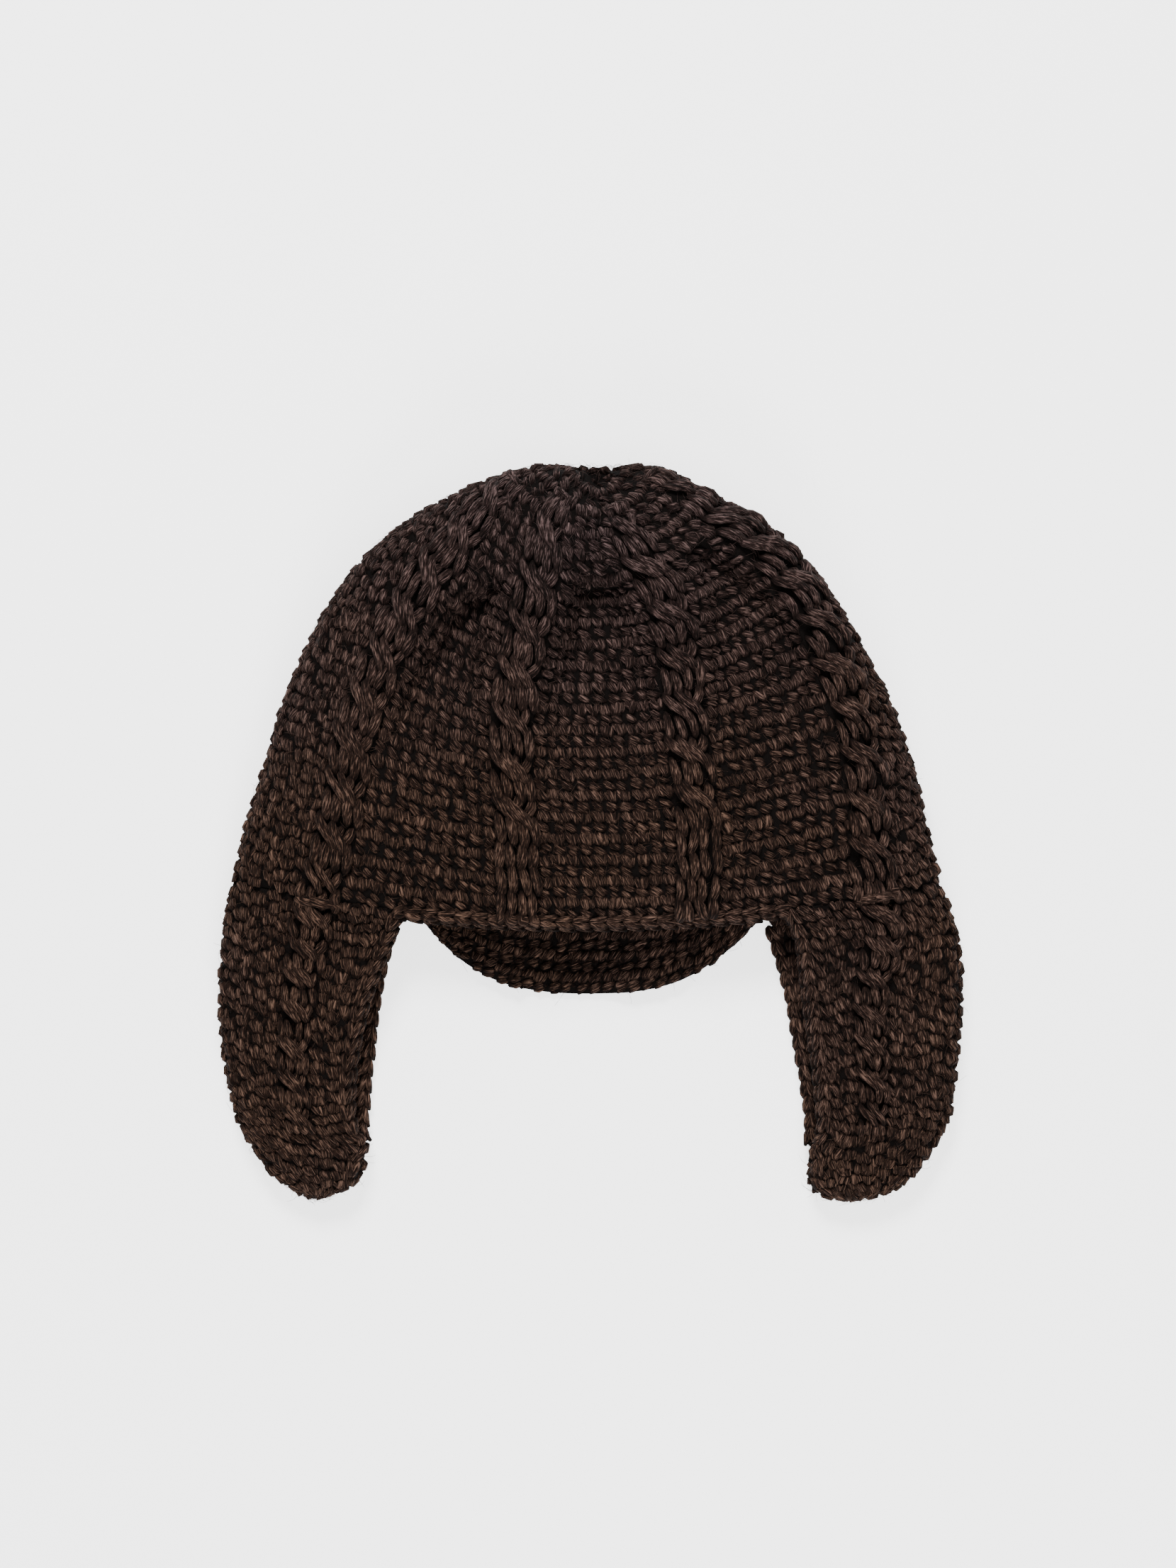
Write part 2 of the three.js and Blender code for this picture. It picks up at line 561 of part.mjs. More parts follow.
// A flap's wall hangs from the crown's hem and shares the crown's columns there
function flapWall(flap, crown, hemAngles) {
  const hem = crown.middle[CROWN_ROWS];
  const first = hemAngles[flap.columns[0]];
  const last = hemAngles[flap.columns[flap.columns.length - 1]];
  const places = flap.columns.map((column) => {
    const isFront = Math.sin(hemAngles[column]) > 0;
    const edge = Math.sin(last) > 0 === isFront ? last : first;
    const share = angleFrom(flap.fold, hemAngles[column]) / angleFrom(flap.fold, edge);
    return { column, isFront, share: Math.abs(share) };
  });
  const middle = [];
  for (let j = 0; j <= FLAP_ROWS; j += 1) {
    const at = j / FLAP_ROWS;
    const match = 1 - ease(at / FLAP_MATCH_LENGTH);
    const spread = mix(1, flap.frontSpread, ease(at / FLAP_MATCH_LENGTH));
    middle.push(places.map(({ column, isFront, share }) => {
      const placed = isFront ? share ** spread : share;
      const point = flapPoint(flap.sections, isFront, placed, at);
      const start = flapPoint(flap.sections, isFront, placed, 0);
      point.addScaledVector(hem[column].clone().sub(start), match);
      point.y -= SEAM;
      if (!isFront) {
        const distance = Math.abs(share - flap.backCableShare) * flap.backWidth;
        const lift = cableLift(distance) * ease((1 - at) * FLAP_LIFT_END);
        point.z = Math.max(point.z, FABRIC / 2 + lift);
      }
      return point;
    }));
  }
  const normals = gridNormals(middle, (j) => j >= FLAP_TOE_ROW);
  normals[0] = flap.columns.map((column) => crown.normals[CROWN_ROWS][column]);
  const tip = poleNormal(normals[FLAP_ROWS - 1]);
  normals[FLAP_ROWS] = normals[FLAP_ROWS].map(() => tip);
  return wallGrids(middle, normals);
}

function angleFrom(fold, angle) {
  return Math.atan2(Math.sin(angle - fold), Math.cos(angle - fold));
}

// The outer and inner faces of a wall of fabric; the outer face rests on the floor where it would reach lower
function wallGrids(middle, normals) {
  const outer = offsetGrid(middle, normals, FABRIC / 2);
  const inner = offsetGrid(middle, normals, -FABRIC / 2);
  outer.flat().forEach((point) => {
    point.z = Math.max(point.z, 0);
  });
  return { middle, normals, outer, inner };
}

function crownWall() {
  const middle = crownGrid();
  const normals = gridNormals(middle, () => true);
  const pole = poleNormal(normals[1]);
  normals[0] = normals[0].map(() => pole);
  return wallGrids(middle, normals);
}

// One place along an edge: the wall's middle, the way out past the edge and the wall's normal
function hemPlace(wall, column) {
  const last = wall.middle.length - 1;
  const point = wall.middle[last][column];
  const beyond = point.clone().sub(wall.middle[last - 1][column]).normalize();
  return { point, beyond, normal: wall.normals[last][column], spread: 1 };
}

function sidePlace(wall, row, edge, neighbour) {
  const point = wall.middle[row][edge];
  const beyond = point.clone().sub(wall.middle[row][neighbour]).normalize();
  return { point, beyond, normal: wall.normals[row][edge], spread: 1 };
}

// Where the hem meets a flap's edge the chain turns the inside corner
function cornerPlace(hem, side) {
  const beyond = hem.beyond.clone().add(side.beyond).normalize();
  return { point: hem.point, beyond, normal: hem.normal, spread: 1 / beyond.dot(hem.beyond) };
}

function edgingSolid(places) {
  const loops = places.map(({ point, beyond, normal, spread }) => {
    const upright = normal.clone().addScaledVector(beyond, -normal.dot(beyond)).normalize();
    const centre = point.clone().addScaledVector(beyond, (SEAM + EDGING_WIDTH / 2) * spread);
    const loop = [];
    for (let side = 0; side < EDGING_SIDES; side += 1) {
      const turn = (2 * Math.PI * (side + 0.5)) / EDGING_SIDES;
      const corner = centre.clone();
      corner.addScaledVector(beyond, (EDGING_WIDTH / 2) * Math.cos(turn) * spread);
      corner.addScaledVector(upright, (EDGING_HEIGHT / 2) * Math.sin(turn));
      corner.z = Math.max(corner.z, 0);
      loop.push(corner);
    }
    return loop;
  });
  return loftSolid(loops);
}

function rowsBetween(from, to) {
  const step = from < to ? 1 : -1;
  const rows = [];
  for (let row = from; row !== to + step; row += step) {
    rows.push(row);
  }
  return rows;
}

function wool(colour) {
  return new THREE.MeshStandardMaterial({ color: colour, roughness: ROUGHNESS, metalness: 0 });
}

function addPiece(group, name, geometry, colour) {
  const mesh = new THREE.Mesh(geometry, wool(colour));
  mesh.name = name;
  group.add(mesh);
}

function addCrown(group, crown) {
  addPiece(group, "crown", wallSolid(crown.outer, crown.inner, 0, 0), WOOL);
}

function addCrownCables(group, crown) {
  let column = 0;
  CABLES.forEach((cable, k) => {
    const columns = [column, column + 1, column + 2];
    const first = Math.round(cable.start * CROWN_ROWS);
    const last = Math.round(cable.end * CROWN_ROWS);
    const solid = cableSolid(crown, columns, first, last, k);
    addPiece(group, `cable_${k + 1}`, solid, CABLE_WOOL);
    column += columns.length + cable.panel.length;
  });
}

function addFlap(group, name, flap, wall) {
  addPiece(group, `${name}_earflap`, wallSolid(wall.outer, wall.inner, FLAP_TOE_ROW, FLAP_ROWS), WOOL);
  for (const half of ["front", "back"]) {
    const columns = flap[`${half}Cable`];
    const solid = cableSolid(wall, columns, 0, FLAP_CABLE_END, 0);
    addPiece(group, `${name}_flap_cable_${half}`, solid, CABLE_WOOL);
  }
}

// The chain runs up the left flap's front edge, along the hem and down the right flap's front edge
function addFrontEdging(group, crown, left, right) {
  const leftEdge = LEFT.columns.length - 1;
  const leftHem = hemPlace(crown, LEFT.columns[leftEdge]);
  const rightHem = hemPlace(crown, RIGHT.columns[0]);
  const places = [
    ...rowsBetween(EDGING_LAST_ROW, 1).map((row) => sidePlace(left, row, leftEdge, leftEdge - 1)),
    cornerPlace(leftHem, sidePlace(left, 0, leftEdge, leftEdge - 1)),
    ...rowsBetween(LEFT.columns[leftEdge] + 1, RIGHT.columns[0] - 1).map((i) => hemPlace(crown, i)),
    cornerPlace(rightHem, sidePlace(right, 0, 0, 1)),
    ...rowsBetween(1, EDGING_LAST_ROW).map((row) => sidePlace(right, row, 0, 1)),
  ];
  addPiece(group, "front_edging", edgingSolid(places), EDGING_WOOL);
}

function addBackEdgings(group, left, right) {
  const rows = rowsBetween(2, EDGING_LAST_ROW);
  const leftPlaces = rows.map((row) => sidePlace(left, row, 0, 1));
  const end = RIGHT.columns.length - 1;
  const rightPlaces = rows.map((row) => sidePlace(right, row, end, end - 1));
  addPiece(group, "left_back_edging", edgingSolid(leftPlaces), EDGING_WOOL);
  addPiece(group, "right_back_edging", edgingSolid(rightPlaces), EDGING_WOOL);
}

function buildCap() {
  const group = new THREE.Group();
  const crown = crownWall();
  const hemAngles = crownColumns(1);
  const left = flapWall(LEFT, crown, hemAngles);
  const right = flapWall(RIGHT, crown, hemAngles);
  addCrown(group, crown);
  addCrownCables(group, crown);
  addFlap(group, "left", LEFT, left);
  addFlap(group, "right", RIGHT, right);
  addFrontEdging(group, crown, left, right);
  addBackEdgings(group, left, right);
  return group;
}

export default buildCap();
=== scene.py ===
import math

import bmesh
import bpy
import numpy as np
from bpy.props import FloatProperty, FloatVectorProperty, IntProperty, PointerProperty
from bpy.types import Operator, Panel, PropertyGroup
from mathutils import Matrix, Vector


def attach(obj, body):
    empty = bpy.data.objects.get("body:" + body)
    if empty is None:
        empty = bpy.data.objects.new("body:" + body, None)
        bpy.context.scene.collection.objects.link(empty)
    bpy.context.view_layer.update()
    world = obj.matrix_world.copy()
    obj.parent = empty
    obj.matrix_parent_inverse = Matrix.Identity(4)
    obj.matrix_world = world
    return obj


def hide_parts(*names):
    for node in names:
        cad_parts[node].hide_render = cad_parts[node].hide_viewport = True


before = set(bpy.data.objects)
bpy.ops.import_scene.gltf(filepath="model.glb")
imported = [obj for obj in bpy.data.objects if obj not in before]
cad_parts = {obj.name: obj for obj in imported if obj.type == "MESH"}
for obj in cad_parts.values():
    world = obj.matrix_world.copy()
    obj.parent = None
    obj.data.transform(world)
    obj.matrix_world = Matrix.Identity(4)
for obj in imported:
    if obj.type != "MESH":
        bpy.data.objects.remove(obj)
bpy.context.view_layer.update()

bl_info = {
    "name": "Crocheted Cable Earflap Cap",
    "version": (1, 0, 0),
    "blender": (4, 5, 0),
    "location": "3D View > Sidebar > Cap",
    "description": "Makes the fabric, stitches, cables, edges and loose fibres of a lying wool cap",
    "category": "Add Mesh",
}

MM = 0.001
CENTIMETRES = 100


# Rows of values as dictionaries under their columns' names
def table(columns, rows):
    return [dict(zip(columns, row)) for row in rows]


SEEDS = {"crown": 11, "cables": 29, "earflaps": 23, "edgings": 37, "fibres": 53}

# Fabric, in millimetres, and the wool between its stitches, a sheet painted dark as the shade that falls there
FABRIC = 4.6
SHADE_SHEET = 1.1
SEAM = 0.4

# Crown
POLE_Y = 135.2
CROWN_LENGTH = 168.7
NAPE_LENGTH = 29.3
NAPE_HALF_WIDTH = 68
NAPE_ROUNDNESS = 3.8
FOLD_ROUNDNESS = 0.62
BACK_FLATNESS = 1.12
CROWN_LIFT_START = 0.25
CROWN_FIRST_RING = 0.03

# Cables
CABLE_HALF_WIDTH = 9.5
CABLE_RISE = 3.2
CABLE_SIDE_BLEND = 9
CABLE_CROWN_TAPER = 0.35
CABLE_FULL_WIDTH_AT = 0.3

# Sections of the crown from its centre (0) to the front hem (1): the two side folds, and the heights of the
# wall's middle at the folds, along the front and along the back
CROWN_COLUMNS = ("at", "leftX", "leftY", "rightX", "rightY", "foldZ", "frontZ", "backZ")
CROWN_SECTIONS = table(CROWN_COLUMNS, (
    (0.0, 3.5, 135.2, 3.5, 135.2, 22, 22, 22),
    (0.1, -18.9, 135.6, 24.9, 135.3, 21, 41, 8),
    (0.2, -41.1, 129.2, 44.0, 125.8, 20, 47, 3.4),
    (0.3, -61.3, 119.6, 63.5, 115.2, 18, 46, 2.3),
    (0.4, -80.0, 106.3, 79.8, 101.6, 17, 42, 2.3),
    (0.5, -94.3, 89.2, 92.8, 84.4, 16, 39, 2.3),
    (0.6, -105.5, 69.4, 103.5, 65.2, 15, 37, 2.3),
    (0.7, -114.7, 48.2, 113.5, 45.1, 14, 35, 2.3),
    (0.8, -121.1, 25.9, 120.9, 24.4, 13.5, 33, 2.3),
    (0.9, -128.6, 3.4, 126.0, 2.6, 13, 30.5, 2.3),
    (1.0, -133.7, -19.2, 131.1, -19.2, 12, 27.5, 2.3),
))

# Where each cable crosses those sections, in degrees round the cap from the left fold over the front
CABLE_ANGLES = table(("at", "c1", "c2", "c3", "c4", "c5", "c6", "c7", "c8"), (
    (0.0, 12, 55, 108, 158, 205, 248, 292, 335),
    (0.1, 16, 56, 108, 158, 206, 249, 292, 334),
    (0.2, 27, 65, 111.5, 159, 211, 252, 290, 328),
    (0.3, 35.5, 71, 114, 159.5, 217, 255, 288, 322),
    (0.5, 39.5, 73.6, 112, 158.5, 223, 257, 287, 319),
    (0.7, 39.8, 75.8, 110, 152.5, 227, 259, 286, 319),
    (0.9, 41.5, 78.5, 109.5, 147.2, 228, 259, 287, 320),
    (1.0, 40, 79, 108, 146, 229, 259, 287, 320),
))

# Each cable: its start and end down the crown, the millimetres to its first crossing and of straight ribs at
# the hem, and the panel after it with its pair-rows
CABLES = table(("key", "start", "end", "crossing", "ribs", "panel", "rows"), (
    ("c1", 0.15, 1.0, 6.0, 0.0, "front", 21),
    ("c2", 0.1, 1.0, 11.0, 34.0, "front", 21),
    ("c3", 0.1, 1.0, 4.0, 34.0, "front", 21),
    ("c4", 0.1, 1.0, 9.0, 0.0, "side", 23),
    ("c5", 0.2, 1.0, 2.0, 0.0, "back", 23),
    ("c6", 0.2, 0.95, 7.0, 0.0, "back", 24),
    ("c7", 0.2, 0.95, 12.0, 0.0, "back", 23),
    ("c8", 0.2, 1.0, 5.0, 0.0, "side", 23),
))
# The first of them run down the front
FRONT_CABLES = 4
# How far the panels reach under the cables, as a share of a cable's half width, and over what share of the
# crown's length they come to reach that far
PANEL_TUCK = 0.82
TUCK_GROWTH = 0.06

# Arched folds in the front, each with the dent under it
ARCHES = table(("x", "y", "halfWidth", "legs", "slant", "depth", "runOut"), (
    (-46, 94, 26, 16, 0.4, 20, 30),
    (4, 98, 24, 14, 0.0, 18, 34),
    (56, 110.5, 27, 28, -0.4, 16, 34),
))
ARCH_LIP = 7.5
ARCH_BLEND = 6
TUCK = {"x": 90, "halfWidth": 15, "y": -13, "rise": 4, "lip": 6}

# Sections of a flap from the hem (0) to the tip (1)
FLAP_COLUMNS = (
    "at", "foldX", "foldY", "frontX", "frontY", "backX", "backY", "foldZ", "frontZ", "backZ", "reach", "curl",
)
LEFT_SECTIONS = table(FLAP_COLUMNS, (
    (0.0, -133.7, -19.2, -75.2, -32.0, -71.5, -31.8, 12, 25, 2.3, 56, 0),
    (0.15, -138.5, -40.0, -79.6, -43.0, -78.8, -43.0, 10.8, 20.5, 2.3, 74, 0),
    (0.3, -139.5, -61.0, -87.4, -64.0, -84.5, -64.0, 9.8, 17.4, 2.3, 86, 0),
    (0.45, -138.5, -82.0, -92.2, -85.0, -86.8, -85.0, 9.4, 16.4, 2.3, 90, 0.05),
    (0.6, -134.7, -103.0, -93.4, -105.0, -88.6, -105.0, 9.2, 16.4, 2.3, 90, 0.1),
    (0.69, -131.3, -112.0, -91.6, -113.5, -88.8, -113.5, 9.1, 16.6, 2.3, 90, 0.25),
    (0.75, -127.6, -120.0, -86.3, -121.0, -86.3, -121.0, 9.0, 16.0, 2.6, 90, 1),
    (0.8125, -122.2, -127.5, -88.0, -128.5, -88.0, -128.5, 9.0, 15.2, 3.0, 90, 1),
    (0.875, -115.8, -133.0, -91.0, -133.8, -91.0, -133.8, 9.0, 13.8, 4.2, 90, 1),
    (0.9375, -110.5, -136.6, -98.5, -137.0, -98.5, -137.0, 9.0, 11.8, 6.2, 90, 1),
    (1.0, -105.5, -138.2, -105.5, -138.2, -105.5, -138.2, 9.0, 9.0, 9.0, 90, 1),
))
RIGHT_SECTIONS = table(FLAP_COLUMNS, (
    (0.0, 131.1, -19.2, 76.3, -31.7, 65.0, -34.0, 12, 25, 2.3, 55, 0),
    (0.15, 138.3, -40.0, 82.0, -43.0, 72.9, -43.0, 10.8, 21.5, 2.3, 74, 0),
    (0.3, 140.3, -61.0, 85.1, -64.0, 79.4, -64.0, 9.8, 18.4, 2.3, 86, 0),
    (0.45, 138.9, -82.0, 88.0, -85.0, 82.9, -85.0, 9.4, 17.0, 2.3, 90, 0.05),
    (0.6, 136.3, -103.5, 90.2, -105.0, 86.4, -105.0, 9.2, 16.6, 2.3, 90, 0.1),
    (0.69, 133.2, -113.0, 90.0, -114.5, 86.8, -114.5, 9.1, 16.6, 2.3, 90, 0.25),
    (0.75, 129.1, -121.5, 85.6, -123.0, 85.6, -123.0, 9.0, 16.0, 2.6, 90, 1),
    (0.8125, 123.2, -129.0, 84.5, -130.0, 84.5, -130.0, 9.0, 15.2, 3.0, 90, 1),
    (0.875, 117.3, -134.0, 85.0, -135.0, 85.0, -135.0, 9.0, 13.8, 4.2, 90, 1),
    (0.9375, 110.5, -137.3, 88.8, -137.8, 88.8, -137.8, 9.0, 11.8, 6.2, 90, 1),
    (1.0, 99.5, -138.8, 99.5, -138.8, 99.5, -138.8, 9.0, 9.0, 9.0, 90, 1),
))
FLAP_MATCH_LENGTH = 0.3
FLAP_LIFT_END = 5
FLAP_CABLE_END = 0.69
# How far a flap's panels reach under its cables, and the share of its front one that the edge's chain takes
FLAP_TUCK = 0.14
CHAIN_ROOM = 0.11

# How each flap hangs from the hem: its fold and the cables on its two halves, with the share of the way to
# the next cable at which its edge lies
LEFT = {
    "name": "left", "sections": LEFT_SECTIONS, "fold": 0.0, "turn": 1,
    "front": {"cable": "c1", "next": "c2", "share": 0.38},
    "back": {"cable": "c8", "next": "c7", "share": 0.5},
    "backCableShare": 0.69, "backWidth": 62, "frontSpread": 0.95,
}
RIGHT = {
    "name": "right", "sections": RIGHT_SECTIONS, "fold": math.pi, "turn": -1,
    "front": {"cable": "c4", "next": "c3", "share": 0.5},
    "back": {"cable": "c5", "next": "c6", "share": 0.28},
    "backCableShare": 0.81, "backWidth": 62, "frontSpread": 0.6,
}

# One crochet stitch of two rows: three legs that fan out upwards, and the two leaning bars under them. across
# and down are shares of the stitch; lift, half (width) and high (height) are millimetres.
STRAND_COLUMNS = ("across", "down", "lift", "half", "high")
FIRST_LEG = table(STRAND_COLUMNS, (
    (-0.10, -0.10, -0.6, 0.7, 0.6),
    (0.04, 0.06, 1.1, 1.2, 1.1),
    (0.24, 0.26, 1.4, 1.25, 1.2),
    (0.50, 0.54, -0.9, 0.7, 0.6),
))
SECOND_LEG = table(STRAND_COLUMNS, (
    (0.26, -0.12, -0.5, 0.7, 0.6),
    (0.36, 0.05, 1.4, 1.25, 1.2),
    (0.49, 0.25, 1.8, 1.3, 1.2),
    (0.63, 0.57, -0.8, 0.7, 0.6),
))
THIRD_LEG = table(STRAND_COLUMNS, (
    (0.64, -0.08, -0.6, 0.7, 0.6),
    (0.70, 0.07, 0.9, 1.15, 1.1),
    (0.76, 0.25, 1.2, 1.15, 1.1),
    (0.80, 0.50, -0.9, 0.7, 0.6),
))
UPPER_BAR = table(STRAND_COLUMNS, (
    (-0.06, 0.47, -0.6, 0.7, 0.6),
    (0.20, 0.55, 1.0, 1.15, 1.0),
    (0.55, 0.67, 1.2, 1.2, 1.1),
    (0.94, 0.80, -0.6, 0.7, 0.6),
))
LOWER_BAR = table(STRAND_COLUMNS, (
    (-0.02, 0.66, -0.6, 0.7, 0.6),
    (0.20, 0.74, 0.8, 1.1, 1.0),
    (0.50, 0.84, 1.0, 1.15, 1.0),
    (0.84, 0.95, -0.6, 0.7, 0.6),
))
RIDGED = (FIRST_LEG, SECOND_LEG, THIRD_LEG, UPPER_BAR, LOWER_BAR)

# How far along and below its first fan of legs a stitch's second one lies
SECOND_FAN = {"across": 0.15, "down": 0.5}


def second_fan(path):
    return [dict(row, **{name: row[name] + SECOND_FAN[name] for name in SECOND_FAN}) for row in path]


LEGS = (FIRST_LEG, SECOND_LEG, THIRD_LEG)
FANNED = LEGS + tuple(second_fan(leg) for leg in LEGS)
FANNED_STAGGER = 0.24
INNER_BAR = table(STRAND_COLUMNS, (
    (-0.04, 0.40, 0.2, 1.0, 0.8),
    (0.20, 0.36, 1.1, 1.4, 1.1),
    (0.48, 0.42, 1.3, 1.6, 1.2),
    (0.76, 0.50, 1.1, 1.4, 1.1),
    (1.02, 0.52, 0.2, 1.0, 0.8),
))

# How far stitches stray from their places, as shares of a stitch, and how much more where they are staggered
STRAY = {"across": 0.05, "down": 0.04, "staggered": 0.1}
# How each strand differs from its path: shares of the stitch, and millimetres for lift and ripple
STRAND_VARIETY = {
    "across": 0.05, "tilt": 0.30, "sway": 0.03, "length": 0.06, "down": 0.03, "lift": 0.30, "ripple": 0.08,
    "size": 0.11,
}
# Under this width, in millimetres, a stitch's strands get thinner
FULL_STITCH = 4.6
# The lift at which a strand's painted shade is darkest, and how far over it the strand is painted fully lit
STITCH_PAINTED_SHADE = (-0.6, 1.6)

# The plies' lobes round a strand, their twist in radians for each millimetre, and how far apart two strands'
# twists and fibres lie
LOBES = 5
LOBE_DEPTH = 0.08
PLY_TWIST = 0.12
TONE_OFFSET = 97.0

# Columns and rows of the grids that follow the walls
PANEL_GRID = (60, 190)
STRIP_GRID = (20, 180)
FLAP_GRID = (60, 120)
INSIDE_GRID = (180, 150)
SAMPLES_PER_COLUMN = 4
CROWN_WALL_GRID = (160, 48)
FLAP_WALL_GRID = (60, 40)
# Where a wall is narrower than this, in millimetres, it takes its direction from the rows beside it
CLOSED_WIDTH = 2.5
# Points of a wall closer than this, in metres, are one
SAME_POINT = 2e-5


def ease(share):
    t = np.clip(share, 0, 1)
    return t * t * (3 - 2 * t)


def mix(start, end, share):
    return start + (end - start) * share


def unit(vectors):
    return vectors / np.maximum(np.linalg.norm(vectors, axis=-1, keepdims=True), 1e-9)


def column(rows, name):
    return np.array([row[name] for row in rows], float)


# All columns of a path, in the order of its names
def columns(path):
    return [column(path, name) for name in path[0]]


# Smooth value of one column of a table
def read(rows, name, at):
    knots = column(rows, "at")
    values = column(rows, name)
    slopes = np.empty_like(values)
    slopes[1:-1] = (values[2:] - values[:-2]) / (knots[2:] - knots[:-2])
    slopes[0] = (values[1] - values[0]) / (knots[1] - knots[0])
    slopes[-1] = (values[-1] - values[-2]) / (knots[-1] - knots[-2])
    i = np.clip(np.searchsorted(knots, at) - 1, 0, len(knots) - 2)
    gap = knots[i + 1] - knots[i]
    t = np.clip((at - knots[i]) / gap, 0, 1)
    leave = t * (1 - t) ** 2 * gap * slopes[i]
    arrive = t * t * (t - 1) * gap * slopes[i + 1]
    return mix(values[i], values[i + 1], ease(t)) + leave + arrive


def cable_angle(key, at):
    return np.radians(read(CABLE_ANGLES, key, at))


# Height that the arched folds and the tuck beside the right flap give the front
def front_relief(x, y):
    relief = np.zeros_like(x)
    for arch in ARCHES:
        side = (x - arch["x"]) / arch["halfWidth"]
        line = arch["y"] + arch["slant"] * (x - arch["x"]) - arch["legs"] * side ** 2
        under = np.maximum(line - y, 0)
        width = np.exp(-(side ** 4))
        relief -= arch["depth"] * width * ease(under / ARCH_LIP) * np.exp(-under / arch["runOut"])
    side = (x - TUCK["x"]) / TUCK["halfWidth"]
    return relief + TUCK["rise"] * np.exp(-(side ** 4)) * ease((TUCK["y"] - y) / TUCK["lip"])


# 0 on a cable and 1 in the panel between two
def away_from_cables(angle, at, half_width):
    share = np.ones_like(angle)
    for cable in CABLES:
        distance = np.abs(angle - cable_angle(cable["key"], at)) * half_width * np.sin(angle)
        share = share * ease((distance - CABLE_HALF_WIDTH) / ARCH_BLEND)
    return share


# Room that the back wall leaves for the cables it lies on
def cable_lift(distance):
    return (CABLE_RISE + SEAM) * (1 - ease((distance - CABLE_HALF_WIDTH) / CABLE_SIDE_BLEND))


# The middle of the crown's wall. The angle goes round from the left fold over the front.
def crown_point(angle, down):
    angle, down = np.broadcast_arrays(np.mod(angle, 2 * math.pi), down)
    at = np.clip(down, 0, 1)
    across = (1 - np.cos(angle)) / 2
    left_x, left_y, right_x, right_y, fold_z, front_z, back_z = [
        read(CROWN_SECTIONS, name, at) for name in CROWN_COLUMNS[1:]
    ]
    x = mix(left_x, right_x, across)
    sine = np.sin(angle)
    y = mix(mix(left_y, right_y, across), POLE_Y - CROWN_LENGTH * down, sine ** 2)
    half_width = (right_x - left_x) / 2
    round_share = np.abs(sine) ** FOLD_ROUNDNESS
    relief = front_relief(x, y) * away_from_cables(angle, at, half_width)
    front = mix(fold_z, front_z, round_share) + relief
    back = mix(fold_z, back_z, np.minimum(1, BACK_FLATNESS * round_share))
    for cable in CABLES:
        distance = np.abs(angle - cable_angle(cable["key"], at)) * half_width * -sine
        lift = cable_lift(distance) * ease(at / CROWN_LIFT_START)
        back = np.maximum(back, FABRIC / 2 + lift)
    return np.stack([x, y, np.where(sine >= 0, front, back)], axis=-1)


# Half of a cable's width as an angle round the crown
def cable_half_angle(key, at):
    step = 0.01
    angle = cable_angle(key, at)
    across = crown_point(angle + step, at) - crown_point(angle - step, at)
    per_radian = np.linalg.norm(across, axis=-1) / (2 * step)
    taper = mix(CABLE_CROWN_TAPER, 1, ease(at / CABLE_FULL_WIDTH_AT))
    return CABLE_HALF_WIDTH * taper / per_radian


# How far below the front hem the back runs, as a share of the crown's length
def hem_reach(angle):
    point = crown_point(angle, 1.0)
    side = np.minimum(np.abs(point[..., 0]) / NAPE_HALF_WIDTH, 1)
    tongue = 1 + (NAPE_LENGTH / CROWN_LENGTH) * (1 - side ** NAPE_ROUNDNESS)
    return np.where(np.sin(angle) >= 0, 1, tongue)


# The angle of a flap's edge on the hem
def flap_edge_angle(flap, side):
    edge = flap[side]
    turn = flap["turn"] if side == "front" else -flap["turn"]
    near = cable_angle(edge["cable"], 1.0) + turn * cable_half_angle(edge["cable"], 1.0)
    far = cable_angle(edge["next"], 1.0) - turn * cable_half_angle(edge["next"], 1.0)
    angle = float(mix(near, far, edge["share"]))
    return angle - 2 * math.pi if side == "back" and flap is LEFT else angle


def flap_half(sections, side, share, at):
    reach = np.radians(read(sections, "reach", at))
    turn = reach * share
    across = (1 - np.cos(turn)) / (1 - np.cos(reach))
    bulge = np.sin(turn) / np.sin(reach)
    fold_z = read(sections, "foldZ", at)
    x = mix(read(sections, "foldX", at), read(sections, side + "X", at), across)
    y = mix(read(sections, "foldY", at), read(sections, side + "Y", at), bulge ** 2)
    rise = np.maximum(bulge, 0) ** FOLD_ROUNDNESS
    if side == "back":
        rise = np.minimum(1, BACK_FLATNESS * rise)
    to_edge = np.clip(2 * across - 1, 0, 1)
    closing = 1 - read(sections, "curl", at) * (1 - np.sqrt(1 - to_edge ** 2))
    z = fold_z + (read(sections, side + "Z", at) - fold_z) * rise * closing
    return np.stack([x, y, z], axis=-1)


# The middle of a flap's wall, hung from the crown's hem at the same angle
def flap_point(flap, angle, at):
    angle, at = np.broadcast_arrays(angle, at)
    halves = []
    for side in ("front", "back"):
        share = np.abs((angle - flap["fold"]) / (flap_edge_angle(flap, side) - flap["fold"]))
        share = np.clip(share, 0, 1)
        spread = mix(1, flap["frontSpread"], ease(at / FLAP_MATCH_LENGTH)) if side == "front" else 1
        placed = share ** spread
        point = flap_half(flap["sections"], side, placed, at)
        start = flap_half(flap["sections"], side, placed, np.zeros_like(at))
        match = 1 - ease(at / FLAP_MATCH_LENGTH)
        point = point + (crown_point(angle, 1.0) - start) * match[..., None]
        point[..., 1] -= SEAM
        if side == "back":
            distance = np.abs(share - flap["backCableShare"]) * flap["backWidth"]
            lift = cable_lift(distance) * ease((1 - at) * FLAP_LIFT_END)
            point[..., 2] = np.maximum(point[..., 2], FABRIC / 2 + lift)
        halves.append(point)
    is_front = np.sin(angle) >= 0
    return np.where(is_front[..., None], halves[0], halves[1])


